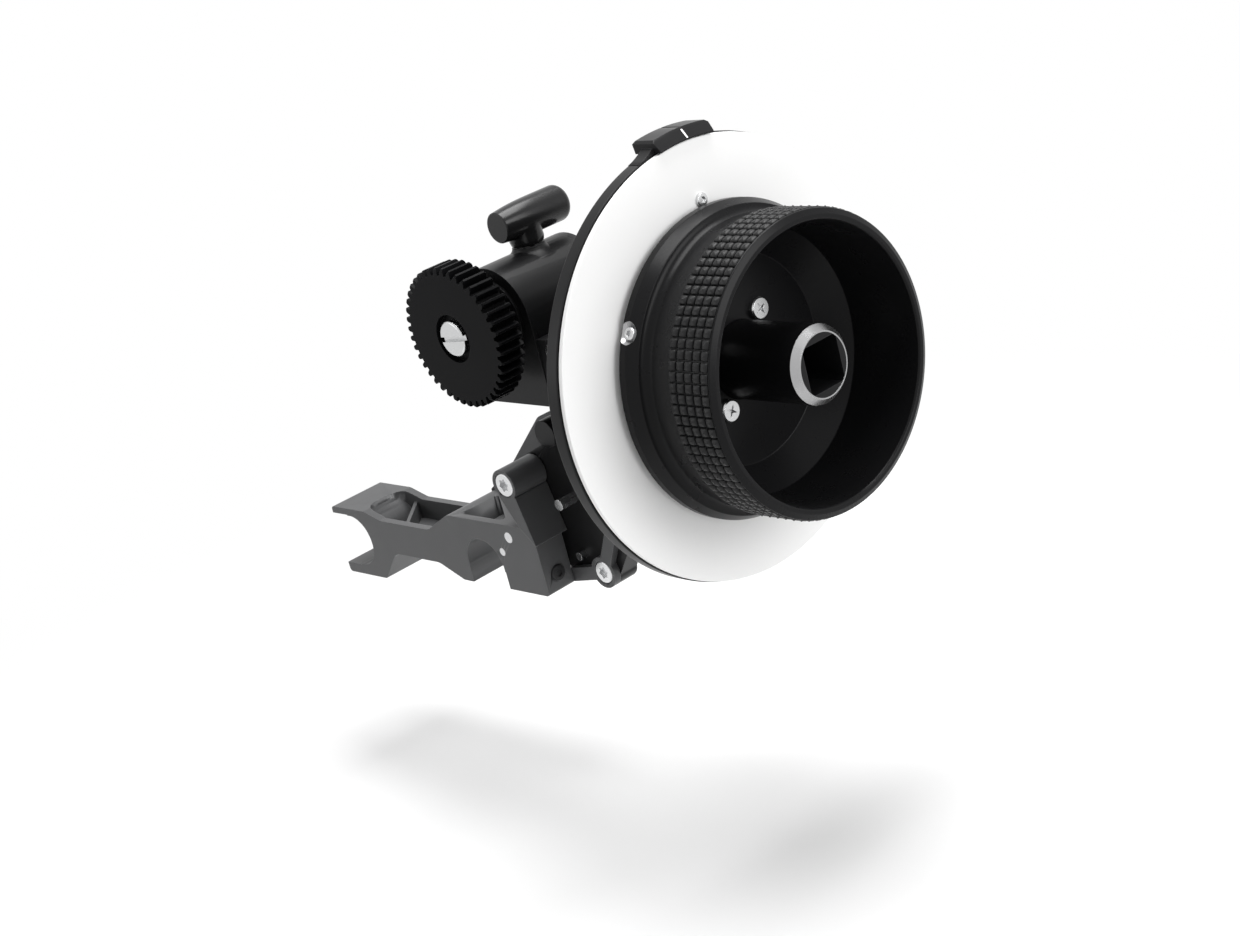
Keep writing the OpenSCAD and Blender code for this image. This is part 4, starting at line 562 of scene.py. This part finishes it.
RIM_X1 = DISC_X1 + FLANGE_BACK + FLANGE_RIM_W
shoulder_drop, shoulder_x, shoulder_fall, rim_fall = 0.4, 0.35, 0.55, 1.9
lip_x, lip_r = 0.5, 0.35
skirt_fillet = FLANGE_R - FLANGE_FALL - SKIRT_R
skirt_x = RIM_X1 + FLANGE_FALL_LEN + skirt_fillet
knob_profile = [(DISC_X1, TUBE_R), (DISC_X1, FLANGE_R - FLANGE_BACK), (DISC_X1 + FLANGE_BACK, FLANGE_R),
                (RIM_X1, FLANGE_R)]
knob_profile += [(skirt_x - skirt_fillet * math.cos(math.radians(a)),
                  SKIRT_R + skirt_fillet * (1 - math.sin(math.radians(a)))) for a in range(0, 91, 10)]
knob_profile += [(skirt_x + (BAND_X0 - skirt_x) * t, SKIRT_R + (BAND_R - SKIRT_R) * t * t)
                 for t in (0.125, 0.25, 0.375, 0.5, 0.625, 0.75, 0.875, 1.0)]
knob_profile += [(BAND_X1, BAND_R), (BAND_X1, KNOB_R - shoulder_drop),
                 (BAND_X1 + shoulder_x, KNOB_R - shoulder_fall), (KNOB_X1, KNOB_R - rim_fall),
                 (KNOB_X1, CUP_R + lip_r), (KNOB_X1 - lip_x, CUP_R), (CUP_KNEE_X, CUP_KNEE_R),
                 (FLOOR_X, FLOOR_R), (FLOOR_X, TUBE_R)]
SET_TURNS, SET_R, SET_TOP_R = (150.0, 270.0, 30.0), 1.5, 36.8
SINK_R, SINK_WALL, SINK_REACH, SINK_OVER, SINK_STEPS = 2.85, 0.03, 4.0, 1.0, 64
sink_foot, sink_top = FLANGE_R - (SINK_R - SET_R), FLANGE_R + SINK_OVER
knob_mesh = placed_mesh("knob", lathe(eased(knob_profile, KNOB_EASE), WHEEL_STEPS), on_wheel)
out_of_rim = Matrix.Translation(Vector((RIM_X1, 0, 0)) * MM) @ Matrix.Rotation(math.radians(90), 4, "Z")
sink_tools, sink_shells = [], []
for turn in SET_TURNS:
    place = on_wheel @ Matrix.Rotation(math.radians(turn), 4, "X") @ out_of_rim
    sink_tools.append(placed_mesh("sink", lathe([
        (FLANGE_R - SINK_REACH, 0.0), (FLANGE_R - SINK_REACH, SET_R), (sink_foot, SET_R),
        (sink_top, SINK_R + SINK_OVER), (sink_top, 0.0)], SINK_STEPS), place))
    sink_shells.append(placed_mesh("sink_shell", lathe([
        (sink_foot, SET_R), (sink_top, SINK_R + SINK_OVER), (sink_top, SINK_R + SINK_OVER - SINK_WALL),
        (sink_foot, SET_R - SINK_WALL)], SINK_STEPS), place))
BLANK_START, BLANK_BEVEL, BLANK_SKIN = 0.7, 0.6, 0.06
blank_end = RIM_X1 + FLANGE_FALL_LEN
rim_blank = placed_mesh("rim_blank", lathe([
    (DISC_X1 + BLANK_START, FLANGE_R - SINK_REACH),
    (DISC_X1 + BLANK_START, FLANGE_R - FLANGE_BACK + BLANK_BEVEL),
    (DISC_X1 + FLANGE_BACK, FLANGE_R - BLANK_SKIN), (RIM_X1, FLANGE_R - BLANK_SKIN),
    (blank_end, FLANGE_R - FLANGE_FALL - BLANK_SKIN), (blank_end, FLANGE_R - SINK_REACH)], WHEEL_STEPS),
    on_wheel)
finished_piece("turned_knob", joined("knob", knob_mesh, sink_tools, "DIFFERENCE"), "wheel", "black_anodised",
               knob_black, "hand_knob")
finished_piece("bared_countersinks",
               joined("sinks", joined_plain("sink_shells", sink_shells), [rim_blank], "INTERSECT"),
               "wheel", "steel", bared_aluminium)


# Knurled band
# A band of raised square pads in straight rows, each with a small point, rolled into the knob's rim for
# grip. One pad is copied round the band in even rows and columns.
KNURL_ROWS, KNURL_COLUMNS = 90, 5
pad_height, pad_side, pad_point, pad_lift = 0.62, 0.84, 0.3, 0.02
knurl_tree, knurl_in, knurl_out = shape_tree(
    "pads round a band", [("Rows", "NodeSocketInt"), ("Columns", "NodeSocketInt"),
                          ("Band Start", "NodeSocketFloat"), ("Band Length", "NodeSocketFloat"),
                          ("Band Radius", "NodeSocketFloat"),
                          ("Axis Place", "NodeSocketVector"), ("Finish", "NodeSocketMaterial")])
knurl_index = tree_node(knurl_tree, "GeometryNodeInputIndex").outputs[0]
knurl_count = sum_node(knurl_tree, "MULTIPLY", knurl_in.outputs["Rows"], knurl_in.outputs["Columns"])
knurl_row = sum_node(knurl_tree, "MODULO", knurl_index, knurl_in.outputs["Rows"])
knurl_column = sum_node(knurl_tree, "FLOOR",
                        sum_node(knurl_tree, "DIVIDE", sum_node(knurl_tree, "ADD", knurl_index, 0.5),
                                 knurl_in.outputs["Rows"]), 0.0)
knurl_turn = sum_node(knurl_tree, "DIVIDE", sum_node(knurl_tree, "MULTIPLY", knurl_row, 2 * math.pi),
                      knurl_in.outputs["Rows"])
knurl_step = sum_node(knurl_tree, "DIVIDE", knurl_in.outputs["Band Length"], knurl_in.outputs["Columns"])
knurl_along = sum_node(knurl_tree, "MULTIPLY", sum_node(knurl_tree, "ADD", knurl_column, 0.5), knurl_step)
knurl_x = sum_node(knurl_tree, "ADD", knurl_in.outputs["Band Start"], knurl_along)
knurl_y = sum_node(knurl_tree, "MULTIPLY", knurl_in.outputs["Band Radius"],
                   sum_node(knurl_tree, "COSINE", knurl_turn, 0.0))
knurl_z = sum_node(knurl_tree, "MULTIPLY", knurl_in.outputs["Band Radius"],
                   sum_node(knurl_tree, "SINE", knurl_turn, 0.0))
knurl_place = tree_node(knurl_tree, "ShaderNodeCombineXYZ", {"X": knurl_x, "Y": knurl_y, "Z": knurl_z})
knurl_points = tree_node(knurl_tree, "GeometryNodePoints",
                         {"Count": knurl_count, "Position": knurl_place.outputs[0]})
knurl_angles = tree_node(knurl_tree, "ShaderNodeCombineXYZ", {"X": knurl_turn})
knurl_copies = tree_node(knurl_tree, "GeometryNodeInstanceOnPoints",
                         {"Points": knurl_points.outputs[0], "Instance": knurl_in.outputs["Geometry"],
                          "Rotation": knurl_angles.outputs[0]})
knurl_moved = tree_node(knurl_tree, "GeometryNodeTransform",
                        {"Geometry": knurl_copies.outputs[0], "Translation": knurl_in.outputs["Axis Place"]})
end_tree(knurl_tree, knurl_moved.outputs[0], knurl_in.outputs["Finish"], knurl_out)

# Rows of the pad from its sunken foot to its point: height, half side, cut at the corners
pad_sections = [(-0.3, 1.12, 0.15), (0.12, 1.1, 0.2), (0.45, 0.98, 0.28), (pad_height, pad_side, 0.3),
                (pad_height + pad_lift, pad_point, 0.2), (pad_height + 0.2, 0.1, 0.07)]
pad_shape = bmesh.new()
pad_rows = []
for height, side, corner in pad_sections:
    row = []
    for quarter in range(4):
        turn = math.radians(90 * quarter)
        for u, v in ((side, -side + corner), (side, side - corner), (side - corner, side)):
            row.append(pad_shape.verts.new(Vector((
                u * math.cos(turn) - v * math.sin(turn), height,
                u * math.sin(turn) + v * math.cos(turn))) * MM))
    pad_rows.append(row)
for a, b in zip(pad_rows, pad_rows[1:]):
    for i in range(len(a)):
        j = (i + 1) % len(a)
        pad_shape.faces.new((a[i], b[i], b[j], a[j]))
pad_shape.faces.new(pad_rows[-1][::-1])
pad_shape.faces.new(pad_rows[0])
bmesh.ops.recalc_face_normals(pad_shape, faces=pad_shape.faces)
knurl_black = metal_finish(
    "black knurled anodising", dye=(0.01, 0.01, 0.0105), edge_highlight=(0.028, 0.028, 0.029), roughness=0.4,
    metallic=0.0, specular=0.18, clouding=0.3, spread=0.15, grain_size=0.00015, grain_depth=0.000004,
    edge_width=0.0001)
knurl_mesh = grown("knurl", placed_mesh("pad", pad_shape), knurl_tree,
                   {"Rows": KNURL_ROWS, "Columns": KNURL_COLUMNS, "Band Start": BAND_X0 * MM,
                    "Band Length": (BAND_X1 - BAND_X0) * MM, "Band Radius": (BAND_R + pad_lift) * MM,
                    "Axis Place": Vector((0, WHEEL_Y, WHEEL_Z)) * MM, "Finish": knurl_black})
finished_piece("knurled_band", knurl_mesh, "wheel", "black_anodised", knurl_black, "grip_ring", degrees=40.0)


# Socket tube
# A turned tube in the middle of the cup takes the square peg of a crank. The square is broached, its
# corners stop at the drilled hole, and the mouth is chamfered last, which bares the metal there.
TUBE_X1, TUBE_BEVEL, TUBE_EASE, TUBE_PILOT_R = 120.3, 1.5, 0.1, 2.5
SOCKET_SIDE, SOCKET_DEPTH, SOCKET_CORNER_R, SOCKET_OVER, SOCKET_ARC_STEPS = 11.2, 14.0, 7.3, 1.0, 4
SEAT_X, SEAT_R, SEAT_BORE_R = 94.5, 4.4, 2.0
bore_x1 = TUBE_X1 - SOCKET_DEPTH + SOCKET_OVER
tube_profile = [(DISC_X1, SEAT_BORE_R), (DISC_X1, TUBE_R), (TUBE_X1 - TUBE_BEVEL, TUBE_R),
                (TUBE_X1, TUBE_R - TUBE_BEVEL), (TUBE_X1, TUBE_PILOT_R), (bore_x1, TUBE_PILOT_R),
                (bore_x1, SEAT_R), (SEAT_X, SEAT_R), (SEAT_X, SEAT_BORE_R)]
corner_start = math.acos(SOCKET_SIDE / 2 / SOCKET_CORNER_R)
socket_tool = bmesh.new()
socket_rings = []
for along in (TUBE_X1 - SOCKET_DEPTH, TUBE_X1 + SOCKET_OVER):
    row = []
    for quarter in range(4):
        for k in range(SOCKET_ARC_STEPS + 1):
            a = (math.radians(90 * quarter) + corner_start
                 + (math.pi / 2 - 2 * corner_start) * k / SOCKET_ARC_STEPS)
            row.append(socket_tool.verts.new(Vector((
                along, SOCKET_CORNER_R * math.cos(a), SOCKET_CORNER_R * math.sin(a))) * MM))
    socket_rings.append(row)
for i in range(len(socket_rings[0])):
    j = (i + 1) % len(socket_rings[0])
    socket_tool.faces.new((socket_rings[0][i], socket_rings[0][j], socket_rings[1][j], socket_rings[1][i]))
socket_tool.faces.new(socket_rings[0][::-1])
socket_tool.faces.new(socket_rings[1])
bmesh.ops.recalc_face_normals(socket_tool, faces=socket_tool.faces)
tube_black = metal_finish(
    "black anodised tube", dye=(0.006, 0.006, 0.0065), edge_highlight=(0.04, 0.04, 0.042), roughness=0.34,
    metallic=0.0, specular=0.14, clouding=0.2, spread=0.1, grain_size=0.0002, grain_depth=0.0000015,
    edge_width=0.0002)
socket_square = placed_mesh("socket_tool", socket_tool, on_wheel)
tube_blank = placed_mesh("tube_blank", lathe(eased(tube_profile, TUBE_EASE)), on_wheel)
finished_piece("socket_tube_turned", joined("tube", tube_blank, [socket_square], "DIFFERENCE"),
               "wheel", "black_anodised", tube_black, "socket_tube")
MOUTH_SKIN, MOUTH_FOOT, MOUTH_LAND = 0.04, 0.1, 0.3
mouth_in = TUBE_R - TUBE_BEVEL - MOUTH_LAND
mouth_profile = [(TUBE_X1 - TUBE_BEVEL, TUBE_R - MOUTH_FOOT), (TUBE_X1 - TUBE_BEVEL, TUBE_R + MOUTH_SKIN),
                 (TUBE_X1 + MOUTH_SKIN, TUBE_R - TUBE_BEVEL + MOUTH_SKIN),
                 (TUBE_X1 + MOUTH_SKIN, mouth_in), (TUBE_X1 - MOUTH_SKIN, mouth_in)]
mouth_ring = placed_mesh("mouth_ring", lathe(mouth_profile), on_wheel)
finished_piece("bared_tube_mouth", joined("mouth", mouth_ring, [socket_square], "DIFFERENCE"),
               "wheel", "steel", bared_aluminium)


# Screws
# Bright steel screws with chamfered flat heads, with a hexagon, six-lobed or cross recess. Each set is
# placed by its points; the head's sizes and the recess are inputs of one tree.
screw_tree, screw_in, screw_out = shape_tree(
    "screws at points", [("Head Radius", "NodeSocketFloat"), ("Head Height", "NodeSocketFloat"),
                         ("Chamfer", "NodeSocketFloat"), ("Recess Points", "NodeSocketInt"),
                         ("Recess Inner", "NodeSocketFloat"), ("Recess Outer", "NodeSocketFloat"),
                         ("Recess Depth", "NodeSocketFloat"), ("Finish", "NodeSocketMaterial")])
SCREW_SIDES = 48
screw_sunk = 0.2 * MM
screw_over = 0.3 * MM
blank_depth = sum_node(screw_tree, "ADD", screw_in.outputs["Head Height"], 2 * screw_over)
screw_blank = tree_node(screw_tree, "GeometryNodeMeshCylinder",
                        {"Vertices": SCREW_SIDES, "Radius": screw_in.outputs["Head Radius"],
                         "Depth": blank_depth})
blank_z = sum_node(screw_tree, "MULTIPLY", screw_in.outputs["Head Height"], 0.5)
screw_blank = tree_node(screw_tree, "GeometryNodeTransform", {
    "Geometry": screw_blank.outputs["Mesh"],
    "Translation": tree_node(screw_tree, "ShaderNodeCombineXYZ", {"Z": blank_z}).outputs[0]})
cone_top = sum_node(screw_tree, "SUBTRACT", screw_in.outputs["Head Radius"], screw_in.outputs["Chamfer"])
cone_depth = sum_node(screw_tree, "ADD", screw_in.outputs["Head Height"], screw_sunk)
cone_foot = sum_node(screw_tree, "ADD", cone_top, cone_depth)
screw_cone = tree_node(screw_tree, "GeometryNodeMeshCone",
                       {"Vertices": SCREW_SIDES, "Radius Top": cone_top, "Radius Bottom": cone_foot,
                        "Depth": cone_depth})
screw_cone = tree_node(screw_tree, "GeometryNodeTransform",
                       {"Geometry": screw_cone.outputs["Mesh"], "Translation": (0.0, 0.0, -screw_sunk)})
screw_head = tree_node(screw_tree, "GeometryNodeMeshBoolean", operation="INTERSECT", solver="EXACT")
screw_tree.links.new(screw_blank.outputs[0], screw_head.inputs["Mesh 2"])
screw_tree.links.new(screw_cone.outputs[0], screw_head.inputs["Mesh 2"])
recess_star = tree_node(screw_tree, "GeometryNodeCurveStar",
                        {"Points": screw_in.outputs["Recess Points"],
                         "Inner Radius": screw_in.outputs["Recess Inner"],
                         "Outer Radius": screw_in.outputs["Recess Outer"]})
recess_low = sum_node(screw_tree, "SUBTRACT", screw_in.outputs["Head Height"],
                      screw_in.outputs["Recess Depth"])
recess_high = sum_node(screw_tree, "ADD", screw_in.outputs["Head Height"], screw_over)
recess_line = tree_node(screw_tree, "GeometryNodeCurvePrimitiveLine", {
    "Start": tree_node(screw_tree, "ShaderNodeCombineXYZ", {"Z": recess_low}).outputs[0],
    "End": tree_node(screw_tree, "ShaderNodeCombineXYZ", {"Z": recess_high}).outputs[0]})
recess_tool = tree_node(screw_tree, "GeometryNodeCurveToMesh",
                        {"Curve": recess_line.outputs[0], "Profile Curve": recess_star.outputs[0],
                         "Fill Caps": True})
screw_cut = tree_node(screw_tree, "GeometryNodeMeshBoolean", operation="DIFFERENCE", solver="EXACT")
screw_tree.links.new(screw_head.outputs["Mesh"], screw_cut.inputs["Mesh 1"])
screw_tree.links.new(recess_tool.outputs[0], screw_cut.inputs["Mesh 2"])
screw_way = tree_node(screw_tree, "GeometryNodeInputNamedAttribute", {"Name": "way"},
                      data_type="FLOAT_VECTOR")
screw_turn = tree_node(screw_tree, "GeometryNodeInputNamedAttribute", {"Name": "turn"}, data_type="FLOAT")
screw_aim = tree_node(screw_tree, "FunctionNodeAlignRotationToVector", {"Vector": screw_way.outputs[0]},
                      axis="Z")
screw_spin = tree_node(screw_tree, "FunctionNodeAxisAngleToRotation",
                       {"Axis": (0.0, 0.0, 1.0), "Angle": screw_turn.outputs[0]})
screw_pose = tree_node(screw_tree, "FunctionNodeRotateRotation",
                       {"Rotation": screw_aim.outputs[0], "Rotate By": screw_spin.outputs[0]},
                       rotation_space="LOCAL")
screw_copies = tree_node(screw_tree, "GeometryNodeInstanceOnPoints",
                         {"Points": screw_in.outputs["Geometry"], "Instance": screw_cut.outputs["Mesh"],
                          "Rotation": screw_pose.outputs[0]})
end_tree(screw_tree, screw_copies.outputs[0], screw_in.outputs["Finish"], screw_out)

screw_steel = metal_finish(
    "bright steel screws", dye=(0.66, 0.665, 0.67), edge_highlight=(0.8, 0.8, 0.8), roughness=0.24, metallic=1.0,
    specular=0.5, clouding=0.05, spread=0.12, grain_size=0.0004, grain_depth=0.000001, edge_width=0.0001)
# A recess's points, and its inner and outer radius as shares of the head's
HEXAGON, SIX_LOBES, CROSS = (3, 0.5, 0.5), (6, 0.4, 0.58), (4, 0.17, 0.62)
HEAD_CHAMFER, RECESS_SHARE, TURN_STEP = 0.12, 0.6, 17.0


def screw_set(name, node, body, places, way, head_r, head_h, recess, turn=0.0):
    """A set of like screws: the points (mm) where their heads sit, and the way that the heads face, which
    is one direction for all or a list of them."""
    mesh = bpy.data.meshes.new(name)
    mesh.from_pydata([Vector(p) * MM for p in places], [], [])
    ways = way if isinstance(way, list) else [way] * len(places)
    mesh.attributes.new("way", "FLOAT_VECTOR", "POINT").data.foreach_set(
        "vector", [c for w in ways for c in w])
    mesh.attributes.new("turn", "FLOAT", "POINT").data.foreach_set(
        "value", [math.radians(turn + TURN_STEP * i) for i in range(len(places))])
    points, inner, outer = recess
    made = grown(name, mesh, screw_tree, {
        "Head Radius": head_r * MM, "Head Height": head_h * MM, "Chamfer": HEAD_CHAMFER * head_r * MM,
        "Recess Points": points, "Recess Inner": inner * head_r * MM, "Recess Outer": outer * head_r * MM,
        "Recess Depth": RECESS_SHARE * head_h * MM, "Finish": screw_steel})
    return finished_piece(name, made, body, "steel", screw_steel, node, degrees=25.0)


def on_circle(x, radius, turns):
    return [(x, WHEEL_Y + radius * math.cos(math.radians(t)), WHEEL_Z + radius * math.sin(math.radians(t)))
            for t in turns]


FRONT, BACK, OUTWARD = (0, -1, 0), (0, 1, 0), (1, 0, 0)
set_screw_h = 1.6
pin_circle, pin_turn = FLANGE_R + 0.9, 88.0
floor_circle, floor_turns = 12.5, (50, 140, 230, 320)
pivot_screw_at, stay_screw_at, latch_screw_at = (17.5, -6.95, 24.8), (36.5, 2.05, -1.6), (23.9, -4.25, -1.0)
plate_screws_at = [(x, 11.95, 10.8) for x in (-10.3, 9.8)]
ear_screws_at = [(45.3, -2.75, z) for z in (50.3, 61.3)]
cover_y, cover_ring_r, cover_low_x, cover_low_drop = 22.05, 11.5, 10.0, 6.9
cover_reach = cover_ring_r * math.cos(math.radians(45))
cover_rows = [(cover_reach, DRIVE_Z + cover_reach), (cover_low_x, WHEEL_Z - cover_low_drop)]
cover_screws_at = [(DRIVE_X + side * reach, cover_y, z) for reach, z in cover_rows for side in (-1, 1)]
screw_set("rim_set_screws", "set_screws", "wheel", on_circle(RIM_X1, SET_TOP_R - set_screw_h, SET_TURNS),
          [(0.0, math.cos(math.radians(t)), math.sin(math.radians(t))) for t in SET_TURNS],
          SET_R, set_screw_h, HEXAGON, 20.0)
screw_set("disc_pin_head", "disc_pin", "wheel", on_circle(DISC_X1, pin_circle, (pin_turn,)), OUTWARD,
          1.6, 0.8, HEXAGON, 20.0)
screw_set("floor_screw_heads", "knob_screws", "wheel", on_circle(FLOOR_X, floor_circle, floor_turns), OUTWARD,
          2.7, 1.5, CROSS, 25.0)
screw_set("pivot_screw_head", "pivot_screw", "bridge", [pivot_screw_at], FRONT, 3.4, 1.8, SIX_LOBES, 12.0)
screw_set("stay_screw_head", "stay_screw", "swing_arm", [stay_screw_at], FRONT, 3.2, 1.5, SIX_LOBES, 12.0)
latch_stop = screw_set("latch_stop_screw", "latch_screw", "bridge", [latch_screw_at], OUTWARD, 2.2, 0.7,
                       HEXAGON)
blackened_steel = metal_finish(
    "blackened steel", dye=(0.02, 0.02, 0.021), edge_highlight=(0.06, 0.06, 0.062), roughness=0.38, metallic=0.0,
    specular=0.25, clouding=0.2, spread=0.12, grain_size=0.0003, grain_depth=0.000001, edge_width=0.0001)
latch_stop.data.materials[0] = blackened_steel
screw_set("plate_screw_heads", "plate_screws", "bridge", plate_screws_at, BACK, 2.8, 1.4, HEXAGON, 10.0)
screw_set("cover_screw_heads", "cover_screws", "swing_arm", cover_screws_at, BACK, 1.7, 1.0, HEXAGON, 5.0)
screw_set("ear_screw_heads", "hub_screws", "swing_arm", ear_screws_at, OUTWARD, 2.7, 2.0, HEXAGON)
paint_nodes(screw_steel, "saddle_screws", "centre_screw")


# The view
# The camera stands where the photographer's did. The unit hangs clear of a white floor, under a wide soft
# light from above, one from the front and a third that keeps the white disc bright.
camera_data = bpy.data.cameras.new("view")
camera = linked("view", camera_data)
camera_right = Vector((0.6619, 0.7103, -0.2395))
camera_up = Vector((-0.0863, 0.3896, 0.9169))
camera_back = Vector((0.7446, -0.5862, 0.3192))
camera_place = Matrix((camera_right, camera_up, camera_back)).transposed().to_4x4()
camera_place.translation = Vector((455.0, -315.15, 201.12)) * MM
camera.matrix_world = camera_place
SENSOR_MM = 36.0
FOCAL_PIXELS = 2200
IMAGE_WIDTH = 1240
camera_data.sensor_width = SENSOR_MM
camera_data.lens = FOCAL_PIXELS / IMAGE_WIDTH * SENSOR_MM
camera_data.clip_start = 0.02
bpy.context.scene.camera = camera

middle = Vector((26.0, 0.0, 40.0)) * MM


def soft_light(name, place, size, watts):
    """A square lamp that faces the middle of the unit, from a place and size in metres."""
    data = bpy.data.lights.new(name, "AREA")
    data.shape = "SQUARE"
    data.size = size
    data.energy = watts
    light = linked(name, data)
    light.location = middle + Vector(place)
    light.rotation_euler = (middle - light.location).to_track_quat("-Z", "Y").to_euler()


soft_light("overhead", place=(0.02, 0.12, 0.62), size=0.48, watts=6.3)
soft_light("front", place=(-0.35, -0.6, 0.25), size=0.4, watts=0.9)
soft_light("wheel_side", place=(0.7, 0.15, 0.25), size=0.5, watts=3.9)

world = bpy.data.worlds.new("white room")
bpy.context.scene.world = world
world.use_nodes = True
room = world.node_tree
room_light = room.nodes["Background"]
room_light.inputs["Color"].default_value = (1, 1, 1, 1)
room_rays = room.nodes.new("ShaderNodeLightPath")
seen = sum_node(room, "MAXIMUM", room_rays.outputs["Is Camera Ray"],
                sum_node(room, "MAXIMUM", room_rays.outputs["Is Glossy Ray"],
                         room_rays.outputs["Is Transmission Ray"]))
ROOM_LEVEL = 0.25
room_strength = sum_node(room, "ADD", sum_node(room, "MULTIPLY", seen, 1.0 - ROOM_LEVEL), ROOM_LEVEL)
room.links.new(room_strength, room_light.inputs["Strength"])

floor_z = -62.0
floor_half = 3.0
shadow_reach, white_from = 0.12, 0.32
floor_shape = bmesh.new()
bmesh.ops.create_grid(floor_shape, x_segments=2, y_segments=2, size=floor_half)
floor = linked("floor", placed_mesh("floor", floor_shape, Matrix.Translation((0, 0, floor_z * MM))))
floor_paint = bpy.data.materials.new("pale floor")
floor_paint.use_nodes = True
floor_tree = floor_paint.node_tree
floor_surface = floor_tree.nodes["Principled BSDF"]
floor_surface.inputs["Base Color"].default_value = (0.86, 0.86, 0.86, 1)
floor_surface.inputs["Roughness"].default_value = 0.9
floor_surface.inputs["Specular IOR Level"].default_value = 0.0
floor_glow = tree_node(floor_tree, "ShaderNodeEmission", {"Strength": 1.0})
floor_place = tree_node(floor_tree, "ShaderNodeTexCoord").outputs["Object"]
floor_reach = tree_node(floor_tree, "ShaderNodeVectorMath", {0: floor_place}, operation="LENGTH")
floor_fade = tree_node(floor_tree, "ShaderNodeMapRange",
                       {"Value": floor_reach.outputs["Value"], "From Min": shadow_reach,
                        "From Max": white_from}, interpolation_type="SMOOTHSTEP")
floor_mix = tree_node(floor_tree, "ShaderNodeMixShader",
                      {0: floor_fade.outputs[0], 1: floor_surface.outputs[0], 2: floor_glow.outputs[0]})
floor_tree.links.new(floor_mix.outputs[0], floor_tree.nodes["Material Output"].inputs["Surface"])
floor.data.materials.append(floor_paint)
bpy.context.scene.view_settings.view_transform = "Standard"
